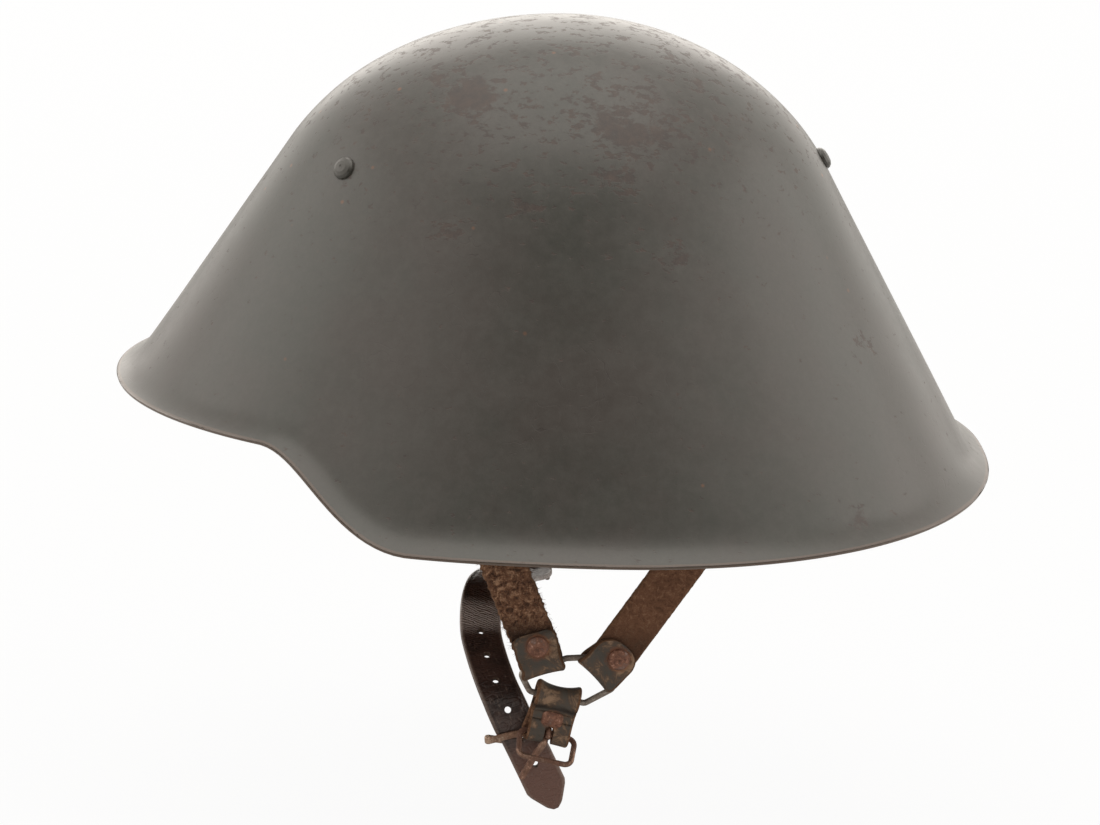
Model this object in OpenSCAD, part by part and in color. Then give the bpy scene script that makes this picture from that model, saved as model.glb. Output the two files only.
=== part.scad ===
// Pressed steel helmet with a hung leather liner and a leather chin strap.
// +X is the front, +Y is the wearer's left, +Z is up.
// The origin is in the middle of the helmet, level with the side rim.

/* [Shell] */
// Height of the crown above the side rim
crown_h = 163; // [159:1:168]
// Reach of the visor rim ahead of the middle
front_reach = 158; // [154:1:164]
// Reach of the rear rim behind the middle
rear_reach = 158; // [154:1:164]
// Half the width across the side rims
side_reach = 136; // [133:1:141]
// Height of the visor rim above the side rim
visor_h = 28; // [22:1:32]
// Height of the rear rim above the side rim
rear_rim_h = 8; // [4:1:12]
// Turn from straight ahead at the middle of the step behind the visor
notch_angle = 60; // [55:1:66]
// Half of the turn that the step takes
notch_spread = 12.5; // [10:0.5:16]
// Height of the round part of the crown at the front
front_dome_h = 86; // [82:1:90]
// Height of the round part of the crown at the rear
rear_dome_h = 94; // [90:1:98]
// Height of the round part of the crown at the sides
side_dome_h = 106; // [102:1:110]
// Slope of the visor away from upright
front_slope = 32; // [30:0.5:33]
// Slope of the rear away from upright
rear_slope = 29.5; // [28:0.5:31]
// Slope of the sides away from upright
side_slope = 26.5; // [25:0.5:28]
// Squareness of the rim in plan, front half (2 is a true ellipse)
front_squareness = 2.1; // [2:0.02:2.2]
// Squareness of the rim in plan, rear half
rear_squareness = 2.36; // [2.2:0.02:2.4]
// Depth below the crown at which the plan starts to square off
square_from = 60; // [50:5:70]
// Depth below the crown at which the squareness would be full
square_full = 170; // [165:5:180]
// How far the rim lip turns outwards
lip_w = 5; // [4:0.5:6]
// Height over which the lip turns outwards
lip_h = 14; // [10:1:18]
// How late the lip turns, as the power of its curve
lip_power = 3; // [2:0.5:4]
// Thickness of the steel sheet
sheet_t = 1.3; // [1.1:0.1:1.5]

/* [Shell rivets] */
// Height of the three liner rivets above the side rim
rivet_z = 115; // [112:1:118]
// Turn of the front liner rivets away from straight ahead
rivet_turn = 35.5; // [32:0.5:39]
// Radius of a liner rivet's head
rivet_head_r = 4.2; // [3.6:0.1:4.8]
// Height of a liner rivet's head
rivet_head_h = 2.4; // [1.8:0.1:3]
// Radius of a liner rivet's shank
rivet_shank_r = 2; // [1.6:0.1:2.4]
// Radius of the washer inside the shell
washer_r = 5.5; // [5:0.1:6]
// Thickness of that washer
washer_t = 1; // [0.8:0.1:1.4]

/* [Liner frame] */
// Room between the front and rear rims and the outer steel band, in plan
end_room = 51; // [49:0.5:53]
// Room between the side rims and the outer steel band, in plan
side_room = 51; // [50:0.5:52]
// Squareness of the outer steel band in plan
carrier_squareness = 2.8; // [2.6:0.1:3]
// Height of the outer steel band's lower edge
carrier_z = 48; // [46:1:50]
// Depth of the outer steel band
carrier_depth = 22; // [20:1:24]
// Thickness of the steel bands
band_t = 1; // [0.8:0.1:1.2]
// Room for the springs between the two steel bands
spring_gap = 6; // [5:0.5:7]
// Depth of the inner steel band
inner_depth = 18; // [16:1:20]
// Squareness of the inner steel band and the leather
head_squareness = 2.4; // [2.3:0.05:2.5]
// Half length of a leaf spring
spring_half = 10.5; // [9:0.5:11]
// Width of a leaf spring
spring_w = 10; // [8:0.5:12]
// Thickness of a leaf spring
spring_t = 0.8; // [0.6:0.1:1]
// Width of the three hangers
hanger_w = 16; // [13:0.5:18]
// Thickness of the hangers
hanger_t = 1.2; // [1:0.1:1.5]
// Length of a hanger above its shell rivet
hanger_above = 8; // [7:0.5:9]
// Length of a hanger below its shell rivet, as far as its bend
hanger_below = 9; // [8:0.5:10]
// Height of a hanger's second bend above the outer band
hanger_bend = 4; // [3:0.5:5]
// Height of a hanger's end above the outer band's lower edge
hanger_end = 3; // [2:0.5:4]

/* [Leather liner] */
// Thickness of the felt behind the sweatband
felt_t = 3; // [2.5:0.5:3.5]
// Depth of the felt
felt_depth = 26; // [22:1:28]
// Thickness of the liner leather
liner_t = 1.8; // [1.5:0.1:2]
// Height of the sweatband's lower edge
sweatband_z = 43; // [41:1:45]
// Height at which the fingers start to curve in
finger_z = 74; // [72:1:78]
// Height of the fingers above that line
finger_rise = 64; // [58:1:68]
// Number of fingers
fingers = 8; // [6:1:9]
// Width of the slot between two fingers at its root
slot_root = 3; // [2:0.5:4]
// Width of that slot at the top
slot_top = 7; // [5:0.5:8]
// Share of the liner's plan left open at the top
top_hole = 0.22; // [0.18:0.01:0.26]
// Share of the liner's plan at which the cord passes the fingers
cord_share = 0.36; // [0.32:0.01:0.4]
// Radius of the drawstring
cord_r = 1.1; // [0.9:0.1:1.3]
// Rise and fall of the drawstring through its holes
cord_wave = 4; // [3.8:0.1:4.5]

/* [Strap clips and bails] */
// Distance of the strap swing axis outwards from the outer band
yoke_gap = 1; // [0.5:0.25:2]
// Height of the strap swing axis
yoke_z = 30; // [28:1:32]
// Place of the front clips along the helmet
front_clip_x = 40; // [38:1:42]
// Place of the rear clips along the helmet
rear_clip_x = -70; // [-72:1:-68]
// Length of a clip's rolled eye
eye_len = 13; // [11:0.5:14]
// Thickness of a clip
clip_t = 1.2; // [1:0.1:1.4]
// Radius of the bail wire
bail_r = 1.2; // [1:0.1:1.3]
// Half length of a bail
bail_half = 11; // [10.5:0.5:12]
// Radius of a bail's corners, to the middle of the wire
bail_bend = 2.4; // [2:0.1:2.6]
// Drop of a bail below the swing axis
bail_drop = 12; // [11:0.5:13]

/* [Straps] */
// Width of the four strap legs
leg_w = 16; // [14:0.5:17]
// Thickness of the strap leather
strap_t = 2; // [1.8:0.1:2.2]
// Radius of the ring wire
ring_r = 1.1; // [1:0.1:1.2]
// Radius of the ring's corners, to the middle of the wire
ring_bend = 2; // [1.6:0.1:2.2]
// Width of the chin strap
chin_w = 15.5; // [14:0.5:16]
// Number of holes in the chin strap
strap_holes = 6; // [4:1:7]
// Distance between two holes
hole_pitch = 11.2; // [10:0.2:12]
// Radius of a hole
hole_r = 1.2; // [1:0.1:1.8]
// Distance from the last hole to the tip
tip_to_hole = 18.5; // [16:0.5:20]
// Lean of the chin strap at the far ring, inwards from straight down
far_lean = 75; // [70:1:80]
// Length of the tapered tip
tip_len = 9; // [7:0.5:11]
// Radius of a strap rivet's head
strap_rivet_r = 3.8; // [3.2:0.1:4.2]
// Height of a strap rivet's head
strap_rivet_h = 1.6; // [1.2:0.1:2]

/* [Buckle] */
// Width of the buckle tab
tab_w = 16; // [14:0.5:16.5]
// Distance from the ring wire to the buckle bar
tab_len = 14; // [13:0.5:15]
// Radius of the buckle wire
buckle_r = 1; // [0.9:0.05:1.1]
// Half width of the buckle frame, to the middle of its wire
buckle_half = 10; // [9.8:0.1:11]
// Height of the buckle frame, to the middle of its wire
buckle_h = 11; // [10:0.5:13]
// Radius of the frame's outer corners, to the middle of the wire
buckle_bend = 3; // [2.5:0.1:3.5]
// Radius of the frame's corners at the bar
bar_bend = 1.6; // [1.4:0.1:1.7]
// Outward tilt of the buckle frame as it hangs
buckle_tilt = 50; // [45:1:55]
// Radius of the prong
prong_r = 1.1; // [0.9:0.05:1.1]
// Reach of the prong from the buckle bar
prong_len = 19; // [16:0.5:20]
// Width of the keeper strip
keeper_w = 4; // [3.5:0.5:4.5]
// Thickness of the keeper strip
keeper_t = 1; // [0.8:0.1:1.1]
// Length of the keeper loop inside
keeper_len = 26.5; // [25:0.5:28]

/* [Hidden] */
$fn = 40;

steel_paint = [0.29, 0.28, 0.25];
rusty = [0.42, 0.28, 0.2];
bare_steel = [0.5, 0.48, 0.45];
grey_felt = [0.45, 0.43, 0.4];
liner_leather = [0.55, 0.38, 0.24];
cord_colour = [0.72, 0.66, 0.54];
suede = [0.35, 0.24, 0.17];
dark_leather = [0.19, 0.13, 0.11];
keeper_colour = [0.62, 0.5, 0.42];

// Clearances between pieces
seat = 0.1;
seat_curved = 0.5;
running = 0.06;
fold_play = 0.3;
hinge_play = 0.8;
keeper_play = 0.5;
eps = 0.01;

// Height of the closed ends of the hidden rivets
tail_h = 0.8;
flat_head = 0.8;

// The liner hangs midway between the rims
liner_mid = (front_reach - rear_reach) / 2;
carrier_a = (front_reach + rear_reach) / 2 - end_room;
carrier_b = side_reach - side_room;
yoke_y = carrier_b + yoke_gap;

// Columns and rings of the shell's surface
columns = 72;
rings = 26;

// Small helpers
function smooth(low, high, v) = let (t = min(1, max(0, (v - low) / (high - low)))) t * t * (3 - 2 * t);
function unit(v) = v / norm(v);
function signed_pow(v, p) = sign(v) * pow(abs(v), p);
function flat(rows) = [for (row = rows) each row];

// Places its children at a point, with +Z turned to the direction given
module aim(place, direction) {
    let (d = unit(direction))
    translate(place)
    rotate([0, acos(d.z), atan2(d.y, d.x)])
    children();
}

module rod(from, to, r) {
    aim(from, to - from)
    cylinder(h = norm(to - from), r = r);
}

// A closed loop of wire in the XY plane, bent round each of its corners, as one sweep of a round section.
// The corners run anticlockwise, and each has its own bend, to the middle of the wire.
module bent_wire(corners, bends, r) {
    sides = 10;
    arc_steps = 4;
    count = len(corners);
    function corner(i) = corners[(i + count) % count];
    function way(i) = unit(corner(i + 1) - corner(i));
    function turn(i) = let (a = way(i - 1), b = way(i)) atan2(a.x * b.y - a.y * b.x, a * b);
    stations = [for (i = [0 : count - 1], k = [0 : arc_steps]) let (
        before = way(i - 1),
        side = sign(turn(i)),
        left = [-before.y, before.x],
        middle = corner(i) - bends[i] * tan(abs(turn(i)) / 2) * before + side * bends[i] * left,
        a = turn(i) * k / arc_steps,
        out = -side * (cos(a) * left - sin(a) * before)
    ) [middle + bends[i] * out, side * out]];
    rings_at = [for (s = stations) [for (k = [0 : sides - 1]) let (a = 360 * k / sides)
        [s[0].x + r * cos(a) * s[1].x, s[0].y + r * cos(a) * s[1].y, r * sin(a)]]];
    total = len(stations);
    function at(row, k) = (row % total) * sides + (k % sides);
    polyhedron(points = flat(rings_at), faces = [for (row = [0 : total - 1], k = [0 : sides - 1]) each [
        [at(row, k), at(row, k + 1), at(row + 1, k + 1)],
        [at(row, k), at(row + 1, k + 1), at(row + 1, k)]
    ]]);
}

// Stands the XY plane up: +Y of the drawing becomes +Z, in the plane of the straps
module upright(y = yoke_y) {
    translate([0, y, 0])
    rotate([90, 0, 0])
    children();
}

// A rivet along Z, its head above zero, its shank and tail below
module rivet(head_r, head_h, shank_r, grip, tail_r, tail_h) {
    rotate_extrude()
    polygon([
        [0, -grip - tail_h], [tail_r, -grip - tail_h], [tail_r, -grip], [shank_r, -grip], [shank_r, 0],
        [head_r, 0], [head_r * 0.96, head_h * 0.35], [head_r * 0.8, head_h * 0.7],
        [head_r * 0.5, head_h * 0.94], [head_r * 0.16, head_h], [0, head_h * 0.86]
    ]);
}

module superellipse(a, b, n) {
    translate([liner_mid, 0])
    polygon([for (i = [0 : columns - 1]) let (t = 360 * i / columns)
        [a * signed_pow(cos(t), 2 / n), b * signed_pow(sin(t), 2 / n)]]);
}

module band(a, b, n, thick, low, depth) {
    translate([0, 0, low])
    linear_extrude(depth)
    difference() {
        superellipse(a, b, n);
        superellipse(a - thick, b - thick, n);
    }
}

// The outline of a strip of even thickness that follows a bent line
function thick_line(line, thick) = let (
    last = len(line) - 1,
    across = [for (i = [0 : last]) let (
        before = unit(line[max(i, 1)] - line[max(i, 1) - 1]),
        after = unit(line[min(i, last - 1) + 1] - line[min(i, last - 1)]),
        mid = unit(before + after),
        spread = thick / 2 / (mid * after)
    ) [-mid.y, mid.x] * spread]
) concat([for (i = [0 : last]) line[i] + across[i]], [for (i = [last : -1 : 0]) line[i] - across[i]]);

// A thin wall between an outer and an inner set of rings, listed from the top down.
// With poles the top is closed by one point on each face, otherwise it is open.
module wall(outer, inner, poles = []) {
    rows = len(outer);
    cols = len(outer[0]);
    under = rows * cols;
    first_pole = 2 * under;
    function at(layer, row, col) = layer * under + row * cols + (col % cols);
    side_faces = [for (row = [0 : rows - 2], col = [0 : cols - 1]) each [
        [at(0, row, col), at(0, row, col + 1), at(0, row + 1, col + 1)],
        [at(0, row, col), at(0, row + 1, col + 1), at(0, row + 1, col)],
        [at(1, row, col), at(1, row + 1, col + 1), at(1, row, col + 1)],
        [at(1, row, col), at(1, row + 1, col), at(1, row + 1, col + 1)]
    ]];
    rim_faces = [for (col = [0 : cols - 1]) each [
        [at(0, rows - 1, col), at(0, rows - 1, col + 1), at(1, rows - 1, col + 1)],
        [at(0, rows - 1, col), at(1, rows - 1, col + 1), at(1, rows - 1, col)]
    ]];
    pole_faces = [for (col = [0 : cols - 1]) each [
        [first_pole, at(0, 0, col + 1), at(0, 0, col)],
        [first_pole + 1, at(1, 0, col), at(1, 0, col + 1)]
    ]];
    top_faces = [for (col = [0 : cols - 1]) each [
        [at(0, 0, col + 1), at(0, 0, col), at(1, 0, col)],
        [at(0, 0, col + 1), at(1, 0, col), at(1, 0, col + 1)]
    ]];
    polyhedron(
        points = concat(flat(outer), flat(inner), poles),
        faces = concat(side_faces, rim_faces, len(poles) > 0 ? pole_faces : top_faces)
    );
}

// Shell surface
function dome_turn(reach, dome_h, slope, rim_z) =
    acos(dome_h * tan(slope) / (reach - lip_w - (crown_h - dome_h - rim_z) * tan(slope)));
front_turn = dome_turn(front_reach, front_dome_h, front_slope, visor_h);
rear_turn = dome_turn(rear_reach, rear_dome_h, rear_slope, rear_rim_h);
side_turn = dome_turn(side_reach, side_dome_h, side_slope, 0);

// Reach of the dome and of the straight slope below it, at one height
function reach_at(z, dome_h, slope, turn) = let (
    axis = dome_h * tan(slope) * tan(turn),
    slope_top = crown_h - dome_h * (1 - cos(turn))
) z > slope_top
    ? axis * sqrt(max(0, 1 - pow(1 - (crown_h - z) / dome_h, 2)))
    : axis * sin(turn) + (slope_top - z) * tan(slope);

function rim_at(turn) = let (
    t = acos(cos(turn)),
    step = smooth(notch_angle - notch_spread, notch_angle + notch_spread, t)
) visor_h * (1 - step) + step * rear_rim_h * smooth(90, 180, t);

// A point of the outer surface at one turn and height
function shell_point(turn, z) = let (
    front = cos(turn) > 0,
    along = front ? reach_at(z, front_dome_h, front_slope, front_turn)
        : reach_at(z, rear_dome_h, rear_slope, rear_turn),
    across = reach_at(z, side_dome_h, side_slope, side_turn),
    lip = lip_w * pow(min(1, max(0, 1 - (z - rim_at(turn)) / lip_h)), lip_power),
    n = 2 + ((front ? front_squareness : rear_squareness) - 2) * smooth(square_from, square_full, crown_h - z)
) [(along + lip) * signed_pow(cos(turn), 2 / n), (across + lip) * signed_pow(sin(turn), 2 / n), z];

// The same point with the height given as a share of the way from crown to rim
function shell_at(turn, share) =
    shell_point(turn, crown_h - (crown_h - rim_at(turn)) * (1 - cos(180 * share)) / 2);

function shell_normal(turn, share) = unit(cross(
    shell_at(turn, min(1, share + 0.01)) - shell_at(turn, share - 0.01),
    shell_at(turn + 0.5, share) - shell_at(turn - 0.5, share)));

function share_of(turn, z) = acos(1 - 2 * (crown_h - z) / (crown_h - rim_at(turn))) / 180;

rivet_turns = [rivet_turn, -rivet_turn, 180];
function rivet_place(turn) = shell_point(turn, rivet_z);
function rivet_out(turn) = shell_normal(turn, share_of(turn, rivet_z));

module at_rivets() {
    for (turn = rivet_turns)
        aim(rivet_place(turn), rivet_out(turn))
        children();
}

module shell() {
    spots = [for (row = [1 : rings]) [for (col = [0 : columns - 1]) [360 * col / columns, row / rings]]];
    outer = [for (row = spots) [for (s = row) shell_at(s.x, s.y)]];
    inner = [for (row = spots) [for (s = row) shell_at(s.x, s.y) - sheet_t * shell_normal(s.x, s.y)]];
    color(steel_paint)
    difference() {
        wall(outer, inner, [[0, 0, crown_h], [0, 0, crown_h - sheet_t]]);
        at_rivets()
        translate([0, 0, -10])
        cylinder(h = 20, r = rivet_shank_r);
    }
}

// Shell rivets, washers and hangers
washer_top = sheet_t + seat_curved;
hanger_top = washer_top + washer_t;

module shell_rivets() {
    color(rusty)
    at_rivets()
    rivet(rivet_head_r, rivet_head_h, rivet_shank_r, hanger_top + hanger_t, rivet_shank_r * 1.6, tail_h);
}

module rivet_washers() {
    color(bare_steel)
    at_rivets()
    translate([0, 0, -washer_top - washer_t])
    difference() {
        cylinder(h = washer_t, r = washer_r);
        translate([0, 0, -1])
        cylinder(h = washer_t + 2, r = rivet_shank_r);
    }
}

// Distance from a point inside the outer band to the band's face, by halving
function ring_hit(place, way, low, high, n) = let (
    mid = (low + high) / 2,
    spot = place + mid * way,
    inside = pow(abs(spot.x - liner_mid) / carrier_a, carrier_squareness)
        + pow(abs(spot.y) / carrier_b, carrier_squareness) < 1
) n == 0 ? mid : inside ? ring_hit(place, way, mid, high, n - 1) : ring_hit(place, way, low, mid, n - 1);

carrier_mid = carrier_z + carrier_depth / 2;
function hanger_way(turn) = let (out = rivet_out(turn)) unit([out.x, out.y]);
function hanger_reach(turn) = let (p = rivet_place(turn)) ring_hit([p.x, p.y], hanger_way(turn), -carrier_b / 2, carrier_b, 26);

// A strip from a shell rivet down to the outer band, drawn outwards and up
module hanger(turn) {
    place = rivet_place(turn);
    out = rivet_out(turn);
    way = hanger_way(turn);
    side_on = [norm([out.x, out.y]), out.z];
    down = [side_on.y, -side_on.x];
    start = [0, place.z] - (hanger_top + hanger_t / 2) * side_on;
    band_face = hanger_reach(turn) + seat + hanger_t / 2;
    line = [
        start - down * hanger_above, start + down * hanger_below,
        [band_face, carrier_z + carrier_depth + hanger_bend], [band_face, carrier_z + hanger_end]
    ];
    color(bare_steel)
    difference() {
        translate([place.x, place.y, 0])
        rotate([90, 0, atan2(way.y, way.x)])
        linear_extrude(hanger_w, center = true)
        polygon(thick_line(line, hanger_t));
        translate([0, 0, carrier_z - 1])
        linear_extrude(carrier_depth + 2)
        superellipse(carrier_a + seat, carrier_b + seat, carrier_squareness);
        aim(place, out)
        translate([0, 0, -20])
        cylinder(h = 40, r = rivet_shank_r);
        at_hanger_rivet(turn)
        cylinder(h = 40, r = rivet_shank_r, center = true);
    }
}

module at_hanger_rivet(turn) {
    place = rivet_place(turn);
    way = hanger_way(turn);
    face = hanger_reach(turn) + seat + hanger_t;
    aim([place.x + face * way.x, place.y + face * way.y, carrier_mid], [way.x, way.y, 0])
    children();
}

module hanger_rivets() {
    color(bare_steel)
    for (turn = rivet_turns)
        at_hanger_rivet(turn)
        rivet(strap_rivet_r, strap_rivet_h * flat_head, rivet_shank_r, hanger_t + seat + band_t + seat,
            rivet_shank_r * 1.5, tail_h);
}

// Steel bands, springs and felt
inner_a = carrier_a - band_t - spring_gap;
inner_b = carrier_b - band_t - spring_gap;
inner_z = carrier_mid - inner_depth / 2;
felt_a = inner_a - band_t - seat;
felt_b = inner_b - band_t - seat;
liner_a = felt_a - felt_t - seat;
liner_b = felt_b - felt_t - seat;
liner_rivet_z = carrier_mid;
liner_rivet_r = 1.5;
liner_rivet_head_r = 3.6;
liner_rivet_head_h = 1;
clip_rivet_z = carrier_mid;

module carrier_ring() {
    color(bare_steel)
    difference() {
        band(carrier_a, carrier_b, carrier_squareness, band_t, carrier_z, carrier_depth);
        for (turn = rivet_turns)
            at_hanger_rivet(turn)
            cylinder(h = 20, r = rivet_shank_r, center = true);
        for (side = [1, -1], x = [front_clip_x, rear_clip_x])
            at_clip_rivet(side, x)
            cylinder(h = 20, r = rivet_shank_r, center = true);
    }
}

module at_liner_rivets() {
    for (i = [0 : fingers - 1])
        let (
            t = 360 * (i + 0.5) / fingers,
            n = head_squareness,
            inside = [(liner_a - liner_t) * signed_pow(cos(t), 2 / n), (liner_b - liner_t) * signed_pow(sin(t), 2 / n)],
            away = unit([signed_pow(inside.x / liner_a, n - 1) / liner_a, signed_pow(inside.y / liner_b, n - 1) / liner_b])
        )
        aim([liner_mid + inside.x, inside.y, liner_rivet_z], [-away.x, -away.y, 0])
        children();
}

module inner_band() {
    color(bare_steel)
    difference() {
        band(inner_a, inner_b, head_squareness, band_t, inner_z, inner_depth);
        at_liner_rivets()
        cylinder(h = 40, r = liner_rivet_r, center = true);
    }
}

module band_springs() {
    color(bare_steel)
    intersection() {
        translate([0, 0, carrier_mid - spring_w / 2])
        linear_extrude(spring_w)
        difference() {
            superellipse(carrier_a - band_t - seat, carrier_b - band_t - seat, carrier_squareness);
            superellipse(inner_a + seat, inner_b + seat, head_squareness);
        }
        for (i = [0 : fingers - 1])
            let (
                t = 360 * i / fingers,
                n = head_squareness,
                spot = [inner_a * signed_pow(cos(t), 2 / n), inner_b * signed_pow(sin(t), 2 / n)],
                away = unit([signed_pow(spot.x / inner_a, n - 1) / inner_a, signed_pow(spot.y / inner_b, n - 1) / inner_b])
            )
            translate([liner_mid + spot.x, spot.y, carrier_mid])
            rotate([0, 0, atan2(away.y, away.x)])
            linear_extrude(spring_w, center = true)
            polygon(thick_line([for (k = [-6 : 6])
                [spring_t / 2 + seat / 2 + (spring_gap + 5) * pow(k / 6, 2), spring_half * k / 6]], spring_t));
    }
}

module felt_pad() {
    color(grey_felt)
    difference() {
        band(felt_a, felt_b, head_squareness, felt_t, carrier_mid - felt_depth / 2, felt_depth);
        at_liner_rivets()
        cylinder(h = 40, r = liner_rivet_r, center = true);
    }
}

// Leather liner
function liner_share(z) = z < finger_z ? 1 : sqrt(max(0, 1 - pow((z - finger_z) / finger_rise, 2)));
function liner_z(share) = finger_z + finger_rise * sqrt(1 - share * share);
function liner_point(turn, z) = let (
    s = liner_share(z),
    n = 2 + (head_squareness - 2) * smooth(0.5, 1, s)
) [liner_mid + liner_a * s * signed_pow(cos(turn), 2 / n), liner_b * s * signed_pow(sin(turn), 2 / n), z];
function liner_normal(turn, z) = unit(cross(
    liner_point(turn, z - 0.2) - liner_point(turn, z + 0.2),
    liner_point(turn + 0.5, z) - liner_point(turn - 0.5, z)));

module leather_liner() {
    hole_turn = asin(top_hole);
    curve_rows = 14;
    heights = concat(
        [for (k = [0 : curve_rows]) finger_z + finger_rise * cos(hole_turn + (90 - hole_turn) * k / curve_rows)],
        [sweatband_z]
    );
    outer = [for (z = heights) [for (col = [0 : columns - 1]) liner_point(360 * col / columns, z)]];
    inner = [for (z = heights) [for (col = [0 : columns - 1])
        liner_point(360 * col / columns, z) - liner_t * liner_normal(360 * col / columns, z)]];
    slot_z = finger_z + 8;
    color(liner_leather)
    difference() {
        wall(outer, inner);
        for (i = [0 : fingers - 1])
            translate([liner_mid, 0, slot_z])
            rotate([0, 0, finger_gap(i)])
            linear_extrude(finger_rise)
            polygon([[0, -slot_top / 2], [liner_a * 1.2, -slot_root / 2], [liner_a * 1.2, slot_root / 2], [0, slot_top / 2]]);
        for (i = [0 : fingers - 1])
            let (t = 360 * i / fingers)
            translate([liner_mid + cord_share * liner_a * cos(t), cord_share * liner_b * sin(t), slot_z])
            cylinder(h = finger_rise, r = cord_r * 2.8);
        at_liner_rivets()
        cylinder(h = 40, r = liner_rivet_r, center = true);
    }
}

// Plan direction of the gap after a finger, seen from the middle
function finger_gap(i) = let (t = 360 * (i + 0.5) / fingers) atan2(liner_b * sin(t), liner_a * cos(t));

module liner_rivets() {
    color(bare_steel)
    at_liner_rivets()
    rivet(liner_rivet_head_r, liner_rivet_head_h, liner_rivet_r, liner_t + felt_t + band_t + 3 * seat,
        liner_rivet_r * 1.5, tail_h);
}

module drawstring() {
    stations = 72;
    sides = 8;
    middle = liner_z(cord_share) - liner_t / 2;
    function spot(t) = [liner_mid + cord_share * liner_a * cos(t), cord_share * liner_b * sin(t), middle + cord_wave * sin(t * fingers / 2)];
    points = [for (k = [0 : stations - 1]) let (
        t = 360 * k / stations,
        along = unit(spot(t + 1) - spot(t - 1)),
        out = unit(cross(along, [0, 0, 1])),
        up = cross(out, along)
    ) each [for (s = [0 : sides - 1]) spot(t) + cord_r * (cos(360 * s / sides) * out + sin(360 * s / sides) * up)]];
    function at(k, s) = (k % stations) * sides + (s % sides);
    color(cord_colour)
    polyhedron(points = points, faces = [for (k = [0 : stations - 1], s = [0 : sides - 1]) each [
        [at(k, s), at(k + 1, s), at(k + 1, s + 1)],
        [at(k, s), at(k + 1, s + 1), at(k, s + 1)]
    ]]);
}

// Strap clips and bails
module side_of(side) {
    mirror([0, side > 0 ? 0 : 1, 0])
    children();
}

// A point of the outer band's face at one place along the helmet, and its outward direction
function carrier_face(x) = carrier_b * pow(1 - pow(abs(x - liner_mid) / carrier_a, carrier_squareness), 1 / carrier_squareness);
function carrier_out(x) = let (n = carrier_squareness - 1)
    unit([signed_pow((x - liner_mid) / carrier_a, n) / carrier_a, pow(carrier_face(x) / carrier_b, n) / carrier_b, 0]);

module at_clip_rivet(side, x) {
    out = carrier_out(x);
    side_of(side)
    aim([x, carrier_face(x), clip_rivet_z] + (seat + clip_t) * out, out)
    children();
}

module clip(side, x) {
    eye_r = bail_r + running + clip_t;
    plate_low = carrier_z + 2;
    module plate(low, depth) {
        intersection() {
            band(carrier_a + seat + clip_t, carrier_b + seat + clip_t, carrier_squareness, clip_t, low, depth);
            translate([x - eye_len / 2, 0, low])
            cube([eye_len, carrier_b * 1.2, depth]);
        }
    }
    color(bare_steel)
    side_of(side)
    difference() {
        union() {
            plate(plate_low, carrier_depth - 4);
            hull() {
                plate(plate_low, 1);
                translate([x - eye_len / 2, yoke_y + eye_r - clip_t, yoke_z])
                cube([eye_len, clip_t, 1]);
            }
            translate([x - eye_len / 2, yoke_y, yoke_z])
            rotate([0, 90, 0])
            cylinder(h = eye_len, r = eye_r);
        }
        translate([x - eye_len, yoke_y, yoke_z])
        rotate([0, 90, 0])
        cylinder(h = eye_len * 2, r = bail_r + running);
        translate([0, 0, carrier_z - 1])
        linear_extrude(carrier_depth + 2)
        superellipse(carrier_a + seat, carrier_b + seat, carrier_squareness);
        at_clip_rivet(1, x)
        cylinder(h = 20, r = rivet_shank_r, center = true);
    }
}

module clip_left_front() { clip(1, front_clip_x); }
module clip_left_rear() { clip(1, rear_clip_x); }
module clip_right_front() { clip(-1, front_clip_x); }
module clip_right_rear() { clip(-1, rear_clip_x); }

module clip_rivets() {
    color(bare_steel)
    for (side = [1, -1], x = [front_clip_x, rear_clip_x])
        at_clip_rivet(side, x)
        rivet(strap_rivet_r, strap_rivet_h * flat_head, rivet_shank_r, clip_t + seat + band_t + seat,
            rivet_shank_r * 1.5, tail_h);
}

// The rings hang in the plane of the swing axis; their corners are x and z
ring_corners = [[13, -54], [-3.5, -48.6], [-11, -48], [-21.5, -58.5], [-10.5, -65], [9, -61.2]];
function ring_side(i) = [ring_corners[i], ring_corners[i + 1]];
front_side = ring_side(0);
rear_side = ring_side(2);
tab_side = ring_side(4);

// The stretch between two bends of the ring, where a strap can fold round it
function bend_reach(i) = let (
    count = len(ring_corners),
    a = unit(ring_corners[i % count] - ring_corners[(i + count - 1) % count]),
    b = unit(ring_corners[(i + 1) % count] - ring_corners[i % count])
) ring_bend * tan(acos(a * b) / 2);
function straight(i) = let (pair = ring_side(i), d = unit(pair[1] - pair[0]))
    [pair[0] + bend_reach(i) * d, pair[1] - bend_reach(i + 1) * d];
function straight_of(side) = side == front_side ? straight(0) : straight(2);
function middle_of(pair) = (pair[0] + pair[1]) / 2;
function upward(pair) = let (d = unit(pair[1] - pair[0]), n = [-d.y, d.x]) n.y > 0 ? n : -n;

// The lower wire of a bail lies square to the leg that hangs on it
function bail_low(x, side) = let (
    foot = middle_of(side),
    top = [x, yoke_z]
) top + bail_drop / (top.y - foot.y) * (foot - top);
function leg_way(x, side) = unit([x, yoke_z] - middle_of(side));

module bail(side_sign, x, side) {
    way = leg_way(x, side);
    low = bail_low(x, side);
    across = [way.y, -way.x] * (leg_w / 2 + fold_play + bail_bend);
    color(bare_steel)
    side_of(side_sign)
    upright()
    bent_wire([[x + bail_half, yoke_z], [x - bail_half, yoke_z], low - across, low + across],
        [bail_bend, bail_bend, bail_bend, bail_bend], bail_r);
}

module bail_left_front() { bail(1, front_clip_x, front_side); }
module bail_left_rear() { bail(1, rear_clip_x, rear_side); }
module bail_right_front() { bail(-1, front_clip_x, front_side); }
module bail_right_rear() { bail(-1, rear_clip_x, rear_side); }

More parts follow.
